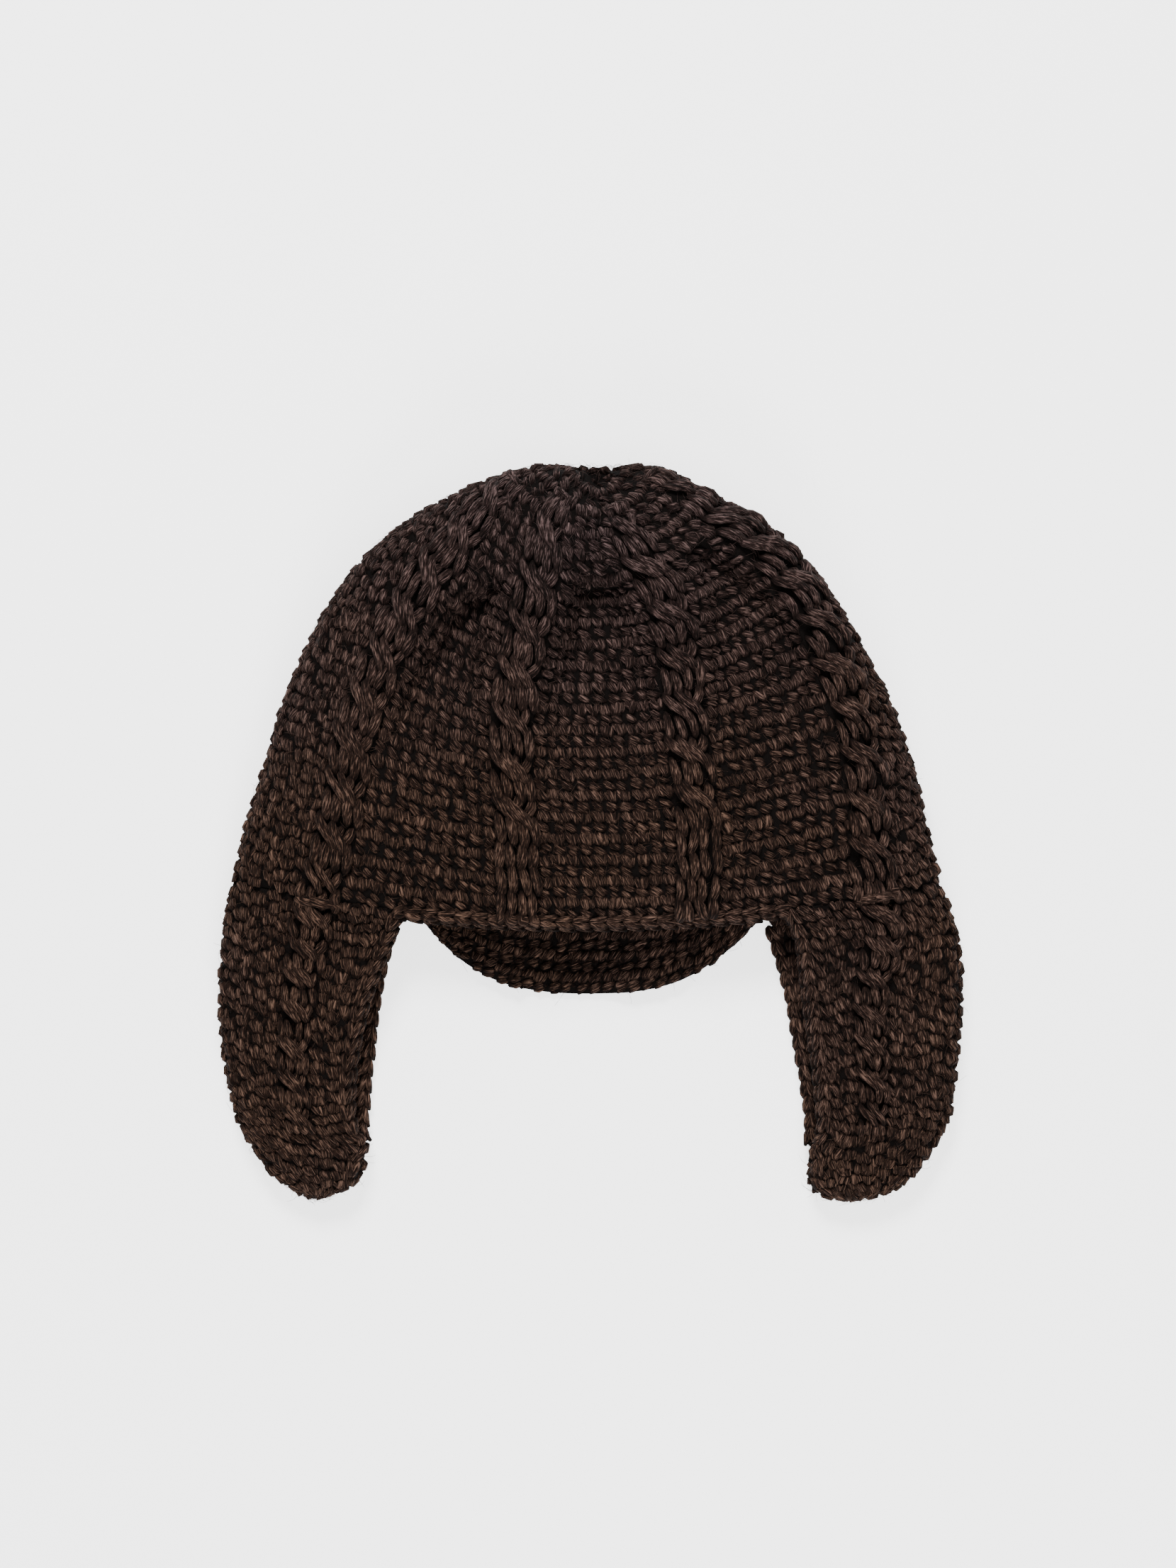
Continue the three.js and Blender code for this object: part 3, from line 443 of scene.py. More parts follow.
class Patch:
    """A part of a wall as a grid of points, evenly spaced across, with the way out of the cap at each."""

    def __init__(self, place, columns, rows, start=0.0, end=1.0, lead=None):
        across = np.linspace(0, 1, SAMPLES_PER_COLUMN * columns + 1)[None, :]
        down = np.linspace(start, end, rows + 1)[:, None]
        points = place(across, down)
        steps = np.linalg.norm(np.diff(points, axis=1), axis=-1)
        along = np.concatenate([np.zeros((rows + 1, 1)), np.cumsum(steps, axis=1)], axis=1)
        self.widths = along[:, -1]
        even = np.empty((rows + 1, columns + 1, 3))
        for j in range(rows + 1):
            wanted = np.linspace(0, self.widths[j], columns + 1)
            for axis in range(3):
                even[j, :, axis] = np.interp(wanted, along[j], points[j, :, axis])
        self.points = even
        self.normals = unit(np.cross(np.gradient(even, axis=0), np.gradient(even, axis=1)))
        wide = np.flatnonzero(self.widths > CLOSED_WIDTH)
        self.normals = self.normals[np.clip(np.arange(rows + 1), wide[0], wide[-1])]
        middle = even[:, columns // 2]
        lengths = np.linalg.norm(np.diff(middle, axis=0), axis=-1)
        self.along = np.concatenate([[0], np.cumsum(lengths)])
        self.lead = start * CROWN_LENGTH if lead is None else lead

    def blend(self, grid, across, down):
        rows, columns = grid.shape[0] - 1, grid.shape[1] - 1
        v = np.clip(down, 0, 1) * rows
        u = np.clip(across, 0, 1) * columns
        j = np.minimum(v.astype(int), rows - 1)
        i = np.minimum(u.astype(int), columns - 1)
        fv, fu = (v - j)[..., None], (u - i)[..., None]
        above = mix(grid[j, i], grid[j, i + 1], fu)
        below = mix(grid[j + 1, i], grid[j + 1, i + 1], fu)
        return mix(above, below, fv)

    # Points at a height over the wall's middle, and the normals there
    def lift(self, across, down, height):
        normals = unit(self.blend(self.normals, across, down))
        return self.blend(self.points, across, down) + normals * np.asarray(height)[..., None], normals

    def width(self, down):
        return np.interp(down, np.linspace(0, 1, len(self.widths)), self.widths)

    # The share of the way down at a distance along the middle
    def down_at(self, distance):
        return np.interp(distance, self.along, np.linspace(0, 1, len(self.along)))


# A closed straight strand: the ring and the turn round it of each vertex, and its faces
def strand_form(sides, rings):
    bm = bmesh.new()
    bmesh.ops.create_cone(
        bm, cap_ends=True, cap_tris=False, segments=sides, radius1=1, radius2=1, depth=rings - 1
    )
    bmesh.ops.translate(bm, verts=bm.verts, vec=(0, 0, (rings - 1) / 2))
    for ring in range(1, rings - 1):
        everything = bm.verts[:] + bm.edges[:] + bm.faces[:]
        bmesh.ops.bisect_plane(bm, geom=everything, plane_co=(0, 0, ring), plane_no=(0, 0, 1), dist=1e-6)
    bmesh.ops.recalc_face_normals(bm, faces=bm.faces)
    bm.verts.index_update()
    rings_of = np.array([round(v.co.z) for v in bm.verts])
    turns = np.array([math.atan2(v.co.y, v.co.x) / (2 * math.pi) % 1 for v in bm.verts])
    corners, corner_turns, sizes = [], [], []
    for face in bm.faces:
        index = [v.index for v in face.verts]
        around = turns[index]
        if around.max() - around.min() > 0.5:
            around = np.where(around < 0.5, around + 1, around)
        corners.extend(index)
        corner_turns.extend(around)
        sizes.append(len(index))
    bm.free()
    return {
        "ring": rings_of, "turn": turns * 2 * math.pi, "corners": np.array(corners),
        "corner_turns": np.array(corner_turns), "sizes": np.array(sizes),
    }


# Many strands of one form, each along its own line of centres, as arrays ready to join. Their plies show as
# lobes that twist along them.
def sweep(form, centres, ups, widths, heights, tones, painted_light, lobed=True):
    ahead = unit(np.gradient(centres, axis=1))
    side = unit(np.cross(ups, ahead))
    up = np.cross(ahead, side)
    steps = np.linalg.norm(np.diff(centres, axis=1), axis=-1)
    along = np.concatenate([np.zeros((len(centres), 1)), np.cumsum(steps, axis=1)], axis=1)
    along = along + tones[:, None] * TONE_OFFSET
    ring = form["ring"]
    turn = form["turn"] + along[:, ring] * PLY_TWIST * lobed
    lobe = 1 + LOBE_DEPTH * np.cos(LOBES * form["turn"]) * lobed
    points = centres[:, ring]
    points = points + side[:, ring] * (np.cos(turn) * lobe * widths[:, ring])[..., None]
    points = points + up[:, ring] * (np.sin(turn) * lobe * heights[:, ring])[..., None]
    corner_rings = ring[form["corners"]]
    uv = np.stack([
        along[:, corner_rings] * MM * CENTIMETRES,
        np.broadcast_to(form["corner_turns"], (len(centres), len(corner_rings))),
    ], axis=-1)
    count = len(ring)
    corners = form["corners"][None, :] + count * np.arange(len(centres))[:, None]
    return {
        "points": points.reshape(-1, 3),
        "corners": corners.ravel(),
        "sizes": np.tile(form["sizes"], len(centres)),
        "uv": uv.reshape(-1, 2),
        "tone": np.repeat(tones, count),
        "girth": np.repeat(widths.mean(axis=1), count),
        # The depth attribute holds each point's painted shade, from 0 where darkest to 1 where fully lit
        "depth": painted_light[:, ring].ravel(),
    }


def add_piece(name, mesh, material):
    mesh.materials.append(material)
    piece = bpy.data.objects.new(name, mesh)
    bpy.context.collection.objects.link(piece)
    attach(piece, "root")
    return piece


PART_KEYS = ("points", "sizes", "uv", "tone", "girth", "depth")


# One mesh object from joined arrays of strands, resting on the floor where they would reach below it
def strands_piece(name, parts, material):
    offset, corners = 0, []
    for part in parts:
        corners.append(part["corners"] + offset)
        offset += len(part["points"])
    joined = {key: np.concatenate([part[key] for part in parts]) for key in PART_KEYS}
    points = joined["points"] * MM
    points[:, 2] = np.maximum(points[:, 2], 0)
    corners = np.concatenate(corners)
    starts = np.concatenate([[0], np.cumsum(joined["sizes"])[:-1]])
    mesh = bpy.data.meshes.new(name)
    mesh.vertices.add(len(points))
    mesh.vertices.foreach_set("co", points.ravel().astype(np.float32))
    mesh.loops.add(len(corners))
    mesh.loops.foreach_set("vertex_index", corners.astype(np.int32))
    mesh.polygons.add(len(starts))
    mesh.polygons.foreach_set("loop_start", starts.astype(np.int32))
    mesh.polygons.foreach_set("use_smooth", np.ones(len(starts), bool))
    mesh.update(calc_edges=True)
    mesh.uv_layers.new(name="strand").data.foreach_set("uv", joined["uv"].ravel().astype(np.float32))
    # depth carries the painted shade of each point
    for key in ("tone", "girth", "depth"):
        attribute = mesh.attributes.new(key, "FLOAT", "POINT")
        attribute.data.foreach_set("value", joined[key].astype(np.float32))
    mesh.validate()
    return add_piece(name, mesh, material)


# Cells of a patch, one for each stitch: its left and right sides and its row's top and bottom
def stitch_cells(patch, rows, stitch_width):
    cells = []
    for row in range(rows):
        top, bottom = row / rows, (row + 1) / rows
        count = max(1, round(float(patch.width((top + bottom) / 2)) / stitch_width))
        for k in range(count):
            cells.append((k / count, (k + 1) / count, top, bottom))
    return np.array(cells)


# The cells with each stitch pushed a little up or down and to a side, and every second one down by a share
def unsettled(cells, stagger, rng):
    push = rng.normal(0, 1, (len(cells), 2))
    second = np.round(cells[:, 0] / (cells[:, 1] - cells[:, 0])) % 2
    stray = STRAY["down"] + STRAY["staggered"] * stagger
    wide = (cells[:, 1] - cells[:, 0]) * STRAY["across"] * push[:, 0]
    high = (cells[:, 3] - cells[:, 2]) * (stray * push[:, 1] + stagger * second)
    return cells + np.stack([wide, wide, high, high], axis=-1)


# How far out of the painted shade a path lies at each lift, from 0 to 1
def painted_light_shares(lift, depth, like):
    darkest, reach = depth
    return np.broadcast_to(np.clip((lift - darkest) / reach, 0, 1), like.shape)


# The same strand of a stitch in every cell of a patch, each a little different
def cell_strands(form, patch, cells, path, yarn, rng, facing=1):
    count = len(cells)
    vary = STRAND_VARIETY
    shift = rng.normal(0, 1, (count, 6))
    sway = rng.normal(0, 1, (2, count, len(path)))
    across, down, lift, half, high = columns(path)
    tilt = down - down.mean()
    across = across + vary["across"] * shift[:, :1] + vary["tilt"] * tilt * shift[:, 4:5]
    across = across + vary["sway"] * sway[0]
    down = down * (1 + vary["length"] * shift[:, 5:6]) + vary["down"] * shift[:, 1:2]
    height = lift + vary["lift"] * shift[:, 2:3] + vary["ripple"] * sway[1]
    size = (1 + vary["size"] * shift[:, 3:4]) * yarn
    u = mix(cells[:, 0:1], cells[:, 1:2], across)
    v = mix(cells[:, 2:3], cells[:, 3:4], down)
    centres, normals = patch.lift(u, v, height * facing)
    narrow = np.minimum(1, patch.width(cells[:, 2:3]) * (cells[:, 1:2] - cells[:, 0:1]) / FULL_STITCH)
    widths = half * size * narrow
    heights = high * size
    painted_light = painted_light_shares(lift, STITCH_PAINTED_SHADE, widths)
    return sweep(form, centres, normals * facing, widths, heights, rng.random(count), painted_light)


# The crown's panel between one cable and the next, reaching a little under both
def crown_panel(index):
    cable = CABLES[index]
    after = CABLES[(index + 1) % len(CABLES)]
    turn = 2 * math.pi if index == len(CABLES) - 1 else 0

    def edges(at):
        near = PANEL_TUCK * ease((at - cable["start"]) / TUCK_GROWTH)
        far = PANEL_TUCK * ease((at - after["start"]) / TUCK_GROWTH)
        left = cable_angle(cable["key"], at) + near * cable_half_angle(cable["key"], at)
        right = cable_angle(after["key"], at) - far * cable_half_angle(after["key"], at) + turn
        return left, right

    hem_left, hem_right = edges(np.array([[1.0]]))

    def place(across, down):
        left, right = edges(np.maximum(down, CROWN_FIRST_RING))
        reach = hem_reach(mix(hem_left, hem_right, across))
        return crown_point(mix(left, right, across), down * reach)

    return Patch(place, *PANEL_GRID)


# The strip of wall under one cable
def cable_strip(cable):
    def place(across, down):
        half = cable_half_angle(cable["key"], down)
        return crown_point(cable_angle(cable["key"], down) + (2 * across - 1) * half, down)

    return Patch(place, *STRIP_GRID, cable["start"], cable["end"])


# A part of the crown's wall between two angles, in degrees
def inside_patch(first, last, start, end):
    def place(across, down):
        angle = np.radians(mix(first, last, across))
        return crown_point(angle, down * hem_reach(angle))

    return Patch(place, *INSIDE_GRID, start, end)


def flap_range(flap):
    return sorted((flap_edge_angle(flap, "front"), flap_edge_angle(flap, "back")))


# The angles of a flap's cable on the hem
def flap_cable_range(flap, side):
    key = flap[side]["cable"]
    middle = float(cable_angle(key, 1.0))
    half = float(cable_half_angle(key, 1.0))
    if side == "back" and flap is LEFT:
        middle -= 2 * math.pi
    return middle - half, middle + half


def flap_patch(flap, left, right, end=1.0, start=0.0):
    def place(across, down):
        return flap_point(flap, mix(left, right, across), down)

    return Patch(place, *FLAP_GRID, start, end, CROWN_LENGTH)


# A flap's panels: from its one edge to a cable, round the fold, and from the other cable to the other edge
def flap_panels(flap):
    first, last = flap_range(flap)
    sides = ("back", "front") if flap is LEFT else ("front", "back")
    lower = flap_cable_range(flap, sides[0])
    upper = flap_cable_range(flap, sides[1])
    tuck = FLAP_TUCK * (lower[1] - lower[0]) / 2
    if flap is LEFT:
        last = mix(last, upper[1], CHAIN_ROOM)
    else:
        first = mix(first, lower[0], CHAIN_ROOM)
    return [
        flap_patch(flap, first, lower[0] + tuck),
        flap_patch(flap, lower[1] - tuck, upper[0] + tuck),
        flap_patch(flap, upper[1] - tuck, last),
    ]


# Nodes

def add_node(tree, kind, inputs=(), **settings):
    node = tree.nodes.new(kind)
    for key, value in settings.items():
        setattr(node, key, value)
    for socket, value in dict(inputs).items():
        if isinstance(value, bpy.types.NodeSocket):
            tree.links.new(value, node.inputs[socket])
        else:
            node.inputs[socket].default_value = value
    return node


def math_node(tree, operation, a, b=0.0):
    return add_node(tree, "ShaderNodeMath", {0: a, 1: b}, operation=operation).outputs[0]


def times(tree, a, b):
    return math_node(tree, "MULTIPLY", a, b)


def plus(tree, a, b):
    return math_node(tree, "ADD", a, b)


def clamped(tree, value):
    return add_node(tree, "ShaderNodeClamp", {0: value}).outputs[0]


# A value mapped from a range to one from 0 to the top
def ranged(tree, value, low, high, top=1.0):
    return add_node(tree, "ShaderNodeMapRange", {0: value, 1: low, 2: high, 3: 0.0, 4: top}).outputs[0]


def noise(tree, where, scale, detail, roughness):
    settings = {"Vector": where, "Scale": scale, "Detail": detail, "Roughness": roughness}
    return add_node(tree, "ShaderNodeTexNoise", settings).outputs[0]


def object_place(tree):
    return add_node(tree, "ShaderNodeTexCoord").outputs["Object"]


def strand_value(tree, name):
    return add_node(tree, "ShaderNodeAttribute", attribute_name=name).outputs["Fac"]


def blend_colours(tree, share, first, second, kind="MIX"):
    node = add_node(tree, "ShaderNodeMix", {0: share, 6: first, 7: second}, data_type="RGBA", blend_type=kind)
    return node.outputs[2]


# Relief from a height, as deep as a distance in metres
def add_relief(tree, shader, height, strength, distance):
    bump = add_node(tree, "ShaderNodeBump", {"Strength": strength, "Distance": distance, "Height": height})
    tree.links.new(bump.outputs[0], shader.inputs["Normal"])


def new_material(name):
    material = bpy.data.materials.new(name)
    material.use_nodes = True
    return material, material.node_tree, material.node_tree.nodes["Principled BSDF"]


# Plies round a strand, fibres for each millimetre across it and for each centimetre along it
PLIES = 11.0
FIBRES = 2.9
FIBRE_PITCH = 3.4
FIBRE_RANGE = (0.40, 0.62)
# What fibres and plies add to a strand's lightness, how much painted shade its depth in the fabric gives it,
# and how its tone changes it
FIBRE_SHADE = 0.85
PLY_SHADE = 0.15
OPEN_PAINTED_SHADE = 0.9
DEEP_PAINTED_SHADE = 0.1
TONE_SHADE = 0.2
PLY_RELIEF = 0.3
# The cooler wool: its patches, which come at random, and a painted cool light that grows toward the top of the
# cap, in metres
COOL_SCALE = 14.0
COOL_LEVEL = 0.45
COOL_STRENGTH = 0.9
PAINTED_COOL_LIGHT = {"low": 0.0, "high": 0.12, "top": 0.6}


# The plies' waves round a strand and the fibres drawn out along it, both from 0 to 1
def plies_and_fibres(tree):
    uv = add_node(tree, "ShaderNodeUVMap", uv_map="strand")
    parts = add_node(tree, "ShaderNodeSeparateXYZ", {0: uv.outputs[0]})
    turn = times(tree, parts.outputs[1], 2 * math.pi)
    wave = math_node(tree, "COSINE", times(tree, turn, PLIES))
    radius = times(tree, strand_value(tree, "girth"), FIBRES)
    place = add_node(tree, "ShaderNodeCombineXYZ", {
        0: times(tree, parts.outputs[0], FIBRE_PITCH),
        1: times(tree, math_node(tree, "COSINE", turn), radius),
        2: times(tree, math_node(tree, "SINE", turn), radius),
    }).outputs[0]
    fibres = noise(tree, place, scale=1.0, detail=2.5, roughness=0.6)
    return plus(tree, times(tree, wave, 0.5), 0.5), ranged(tree, fibres, *FIBRE_RANGE)


# Painted shade deep in the fabric and between the fibres, lighter wool on the fibres, and a little different
# on each strand
def strand_colour(tree, inputs, plies, fibre):
    shade = plus(tree, times(tree, fibre, FIBRE_SHADE), times(tree, plies, PLY_SHADE))
    # Painted shade from each point's depth in the fabric
    shade = times(tree, shade, plus(tree, times(tree, strand_value(tree, "depth"), OPEN_PAINTED_SHADE), DEEP_PAINTED_SHADE))
    own = times(tree, math_node(tree, "SUBTRACT", strand_value(tree, "tone"), 0.5), TONE_SHADE)
    doubled = times(tree, plus(tree, shade, own), 2.0)
    low = blend_colours(tree, clamped(tree, doubled), inputs["Dark"], inputs["Middle"])
    high = clamped(tree, math_node(tree, "SUBTRACT", doubled, 1.0))
    return blend_colours(tree, high, low, inputs["Light"])


# Cool patches that the wool has at random, and a painted cool light toward the top of the cap
def cool_patches_and_painted_light(tree, inputs, colour):
    where = object_place(tree)
    patches = noise(tree, where, scale=COOL_SCALE, detail=2.0, roughness=0.5)
    patches = times(tree, math_node(tree, "SUBTRACT", patches, COOL_LEVEL), COOL_STRENGTH)
    # The painted cool light grows toward the top of the cap
    up = add_node(tree, "ShaderNodeSeparateXYZ", {0: where}).outputs[1]
    share = clamped(tree, plus(tree, ranged(tree, up, **PAINTED_COOL_LIGHT), patches))
    tinted = blend_colours(tree, 1.0, colour, inputs["Cool"], "MULTIPLY")
    return blend_colours(tree, share, colour, tinted)


# Plies and fibres twisted along each strand, from its own map: the colour, with its painted shade and painted
# cool light, and the relief's height
def yarn_group():
    tree = bpy.data.node_groups.new("wool_strand", "ShaderNodeTree")
    for name in ("Dark", "Middle", "Light", "Cool"):
        tree.interface.new_socket(name, in_out="INPUT", socket_type="NodeSocketColor")
    tree.interface.new_socket("Color", in_out="OUTPUT", socket_type="NodeSocketColor")
    tree.interface.new_socket("Height", in_out="OUTPUT", socket_type="NodeSocketFloat")
    inputs = tree.nodes.new("NodeGroupInput").outputs
    plies, fibre = plies_and_fibres(tree)
    colour = strand_colour(tree, inputs, plies, fibre)
    outputs = tree.nodes.new("NodeGroupOutput")
    tree.links.new(cool_patches_and_painted_light(tree, inputs, colour), outputs.inputs["Color"])
    tree.links.new(plus(tree, times(tree, plies, PLY_RELIEF), fibre), outputs.inputs["Height"])
    return tree


def yarn_material(name, dark, middle, light):
    material, tree, shader = new_material(name)
    group = bpy.data.node_groups.get("wool_strand") or yarn_group()
    effect = add_node(tree, "ShaderNodeGroup", node_tree=group)
    cool = bpy.context.scene.cap_yarn.cool
    for socket, colour in (("Dark", dark), ("Middle", middle), ("Light", light), ("Cool", cool)):
        effect.inputs[socket].default_value = list(colour) + [1.0]
    tree.links.new(effect.outputs["Color"], shader.inputs["Base Color"])
    add_relief(tree, shader, effect.outputs["Height"], strength=1.0, distance=0.0004)
    shader.inputs["Roughness"].default_value = 0.88
    shader.inputs["Specular IOR Level"].default_value = 0.06
    shader.inputs["Sheen Weight"].default_value = 0.02
    shader.inputs["Sheen Roughness"].default_value = 0.45
    shader.inputs["Sheen Tint"].default_value = (0.55, 0.42, 0.36, 1)
    return material


# Dark wool seen between the stitches: a sheet painted far darker than the yarn, as the shade between them
def painted_shade_material():
    material, tree, shader = new_material("painted_shade_between_stitches")
    tangle = noise(tree, object_place(tree), scale=900.0, detail=4.0, roughness=0.7)
    colour = blend_colours(tree, tangle, (0.0004, 0.0002, 0.0002, 1), (0.0030, 0.0015, 0.0010, 1))
    tree.links.new(colour, shader.inputs["Base Color"])
    add_relief(tree, shader, tangle, strength=0.8, distance=0.0006)
    shader.inputs["Roughness"].default_value = 0.95
    shader.inputs["Specular IOR Level"].default_value = 0.1
    return material


def material_named(name):
    made = bpy.data.materials.get(name)
    if made:
        return made
    if name == "painted_shade_between_stitches":
        return painted_shade_material()
    yarn = bpy.context.scene.cap_yarn
    # Loose fibres get the yarn's colours a step lighter: painted light on the same wool
    if name == "painted_light_fibre_wool":
        return yarn_material(name, yarn.middle, yarn.light, yarn.light)
    return yarn_material(name, yarn.dark, yarn.middle, yarn.light)


# A thin closed wall mapped from a flat grid by a place function, painted dark as the shade between the
# stitches
def wall_piece(name, place, grid):
    bm = bmesh.new()
    bmesh.ops.create_grid(bm, x_segments=grid[0], y_segments=grid[1], size=0.5)
    bm.verts.index_update()
    flat = np.array([v.co for v in bm.verts]) + 0.5
    points = place(flat[:, 0], flat[:, 1]) * MM
    for vert, point in zip(bm.verts, points):
        vert.co = point
    bmesh.ops.remove_doubles(bm, verts=bm.verts, dist=SAME_POINT)
    bmesh.ops.recalc_face_normals(bm, faces=bm.faces)
    for face in bm.faces:
        face.smooth = True
    mesh = bpy.data.meshes.new(name)
    bm.to_mesh(mesh)
    bm.free()
    piece = add_piece(name, mesh, material_named("painted_shade_between_stitches"))
    wall = piece.modifiers.new("Thickness", "SOLIDIFY")
    wall.thickness = SHADE_SHEET * MM
    wall.offset = 0
    return piece


class CapYarnSettings(PropertyGroup):
    strand: FloatProperty(
        name="Strand share", description="Thickness of the yarn as a share of the modelled strands",
        default=1.0, min=0.5, max=1.5, subtype="FACTOR",
    )
    stitch_width: FloatProperty(
        name="Stitch width", description="Width of one crochet stitch", default=0.0053, min=0.003, max=0.01,
        unit="LENGTH", subtype="DISTANCE", precision=4,
    )
    fibre_count: IntProperty(
        name="Loose fibres", description="How many loose fibres stand on the wool",
        default=4800, min=0, max=9000,
    )
    # The dark wool is painted shade: the colour deep in the fabric and between the plies and fibres
    dark: FloatVectorProperty(
        name="Dark wool", description="Colour of the wool deep in the plies", size=3, subtype="COLOR",
        default=(0.0012, 0.0005, 0.0003), min=0, max=1,
    )
    middle: FloatVectorProperty(
        name="Wool", description="Main colour of the wool", size=3, subtype="COLOR",
        default=(0.0185, 0.0090, 0.0060), min=0, max=1,
    )
    light: FloatVectorProperty(
        name="Light wool", description="Colour of the lightest fibres", size=3, subtype="COLOR",
        default=(0.108, 0.062, 0.043), min=0, max=1,
    )
    # The cool tint colours the wool's random patches and the painted cool light toward the top of the cap
    cool: FloatVectorProperty(
        name="Cool tint", description="Tint of the cooler patches of wool", size=3, subtype="COLOR",
        default=(0.88, 1.04, 1.55), min=0, max=2,
    )


def outer_stitches(patch, rows, paths, yarn, rng, facing=1):
    form = strand_form(sides=6, rings=len(FIRST_LEG))
    cells = stitch_cells(patch, rows, yarn.stitch_width / MM)
    cells = unsettled(cells, FANNED_STAGGER if paths is FANNED else 0.0, rng)
    return [cell_strands(form, patch, cells, path, yarn.strand, rng, facing) for path in paths]


# The inside shows one bar for each row of a stitch
def inner_stitches(patch, rows, yarn, rng):
    form = strand_form(sides=4, rings=len(INNER_BAR))
    cells = stitch_cells(patch, 2 * rows, yarn.stitch_width / MM)
    return [cell_strands(form, patch, cells, INNER_BAR, yarn.strand, rng, facing=-1)]


# Parts of the crown seen from inside: angles in degrees, and start and end down from the centre
INSIDE_BACK = (185, 355, 0.0, 0.7)
INSIDE_NAPE = (185, 355, 0.68, 1.0)
INSIDE_FRONT = (0, 180, 0.6, 1.0)
INSIDE_BACK_ROWS = 14
INSIDE_ROWS = 8


class CAP_OT_crown_fabric(Operator):
    """Make the crown's wall, painted dark as the shade between stitches, and its crochet stitches"""
    bl_idname = "cap.crown_fabric"
    bl_label = "Crown Fabric"

    def execute(self, context):
        yarn = context.scene.cap_yarn
        rng = np.random.default_rng(SEEDS["crown"])

        def place(across, down):
            angle = across * 2 * math.pi
            return crown_point(angle, down * hem_reach(angle))

        wall = wall_piece("crown_shade_sheet", place, CROWN_WALL_GRID)
        stitches = {"front": [], "side": [], "back": [], "inside": []}
        for index, cable in enumerate(CABLES):
            paths = FANNED if cable["panel"] == "side" else RIDGED
            stitches[cable["panel"]] += outer_stitches(crown_panel(index), cable["rows"], paths, yarn, rng)
        back, nape, front = [inside_patch(*part) for part in (INSIDE_BACK, INSIDE_NAPE, INSIDE_FRONT)]
        stitches["inside"] += inner_stitches(back, INSIDE_BACK_ROWS, yarn, rng)
        stitches["inside"] += outer_stitches(nape, INSIDE_ROWS, RIDGED, yarn, rng, facing=-1)
        stitches["inside"] += inner_stitches(front, INSIDE_ROWS, yarn, rng)
        for side, strands in stitches.items():
            piece = strands_piece(f"crown_{side}_stitches", strands, material_named("stitch_wool"))
        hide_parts("crown")
        return {"FINISHED"}


# One cable: four posts. In each period the left pair crosses over the right one, then all run straight. One
# strand of a post is a grain: along is a share of its length, and side (to the right), lift, half and high are
# millimetres.
POST_LANES = (-7.3, -3.1, 1.2, 5.5)
POST_SWAP = 8.6
CROWN_CROSSING = 17.6
FLAP_CROSSING = 13.0
FLAP_FIRST_CROSSING = 3.0
GRAIN = table(("along", "side", "lift", "half", "high"), (
    (-0.12, -0.4, -2.4, 0.8, 0.7),
    (0.06, -0.1, -0.3, 1.55, 1.3),
    (0.32, 0.2, 0.5, 1.95, 1.7),
    (0.62, 0.2, 0.5, 1.95, 1.7),
    (0.92, -0.1, -0.3, 1.55, 1.3),
    (1.12, -0.4, -2.4, 0.8, 0.7),
))
# Each kind of grain: where it starts and ends along a period, how far it moves across and its lift
GRAIN_KINDS = {
    "over": {"start": -0.02, "end": 0.60, "move": POST_SWAP, "lift": 4.4},
    "under": {"start": 0.06, "end": 0.42, "move": -1.6, "lift": 2.8},
    "straight": {"start": 0.46, "end": 1.02, "move": 1.6, "lift": 3.5},
    "first_rib": {"start": 0.0, "end": 0.5, "move": 0.2, "lift": 3.5},
}
# How each post differs: millimetres, and a share for its size
GRAIN_VARIETY = {"start": 0.4, "side": 0.3, "lean": 0.9, "down": 0.5, "lift": 0.3, "size": 0.08}
# The lift at which a grain is painted darkest, and how far over it it is painted fully lit
GRAIN_PAINTED_SHADE = (-2.4, 2.9)
# Where a strip is narrower than a cable its posts shrink with it, down to this share
GRAIN_ROOM = 0.05
# Near the crown's centre the cables lie flatter
FLAT_CROWN_SHARE = 0.42
FLAT_CROWN_LENGTH = 95.0
# The last period that is begun, and the last that crosses before the ribs, as shares of a period
LAST_PERIOD = 0.3
LAST_CROSSING = 0.4


def cable_grains(patch, posts, kind, first, period, rng):
    count = len(first)
    form = strand_form(sides=10, rings=len(GRAIN))
    grain, vary = GRAIN_KINDS[kind], GRAIN_VARIETY
    shift = rng.normal(0, 1, (count, 3))
    share, side, lift, half, high = columns(GRAIN)
    start = first[:, None] + grain["start"] * period + vary["start"] * shift[:, :1]
    distance = start + share * (grain["end"] - grain["start"]) * period
    distance = np.clip(distance, 0, patch.along[-1])
    flatness = mix(FLAT_CROWN_SHARE, 1, ease((distance + patch.lead) / FLAT_CROWN_LENGTH))
    parts = []
    for post in posts:
        sway = rng.normal(0, 1, (count, 4))
        lean = vary["lean"] * (share - 0.5) * sway[:, 1:2]
        place = POST_LANES[post] + grain["move"] * ease(share) + vary["side"] * sway[:, :1] + lean
        place = place + side
        down = patch.down_at(distance + vary["down"] * sway[:, 3:4])
        room = np.minimum(1, patch.width(down) / (2 * CABLE_HALF_WIDTH) + GRAIN_ROOM)
        height = grain["lift"] * flatness + lift + vary["lift"] * sway[:, 2:3]
        centres, normals = patch.lift(0.5 + place / (2 * CABLE_HALF_WIDTH), down, height)
        size = (1 + vary["size"] * shift[:, 2:3]) * room
        widths = half * size
        heights = high * size
        painted_light = painted_light_shares(lift, GRAIN_PAINTED_SHADE, widths)
        parts.append(sweep(form, centres, normals, widths, heights, rng.random(count), painted_light))
    return parts


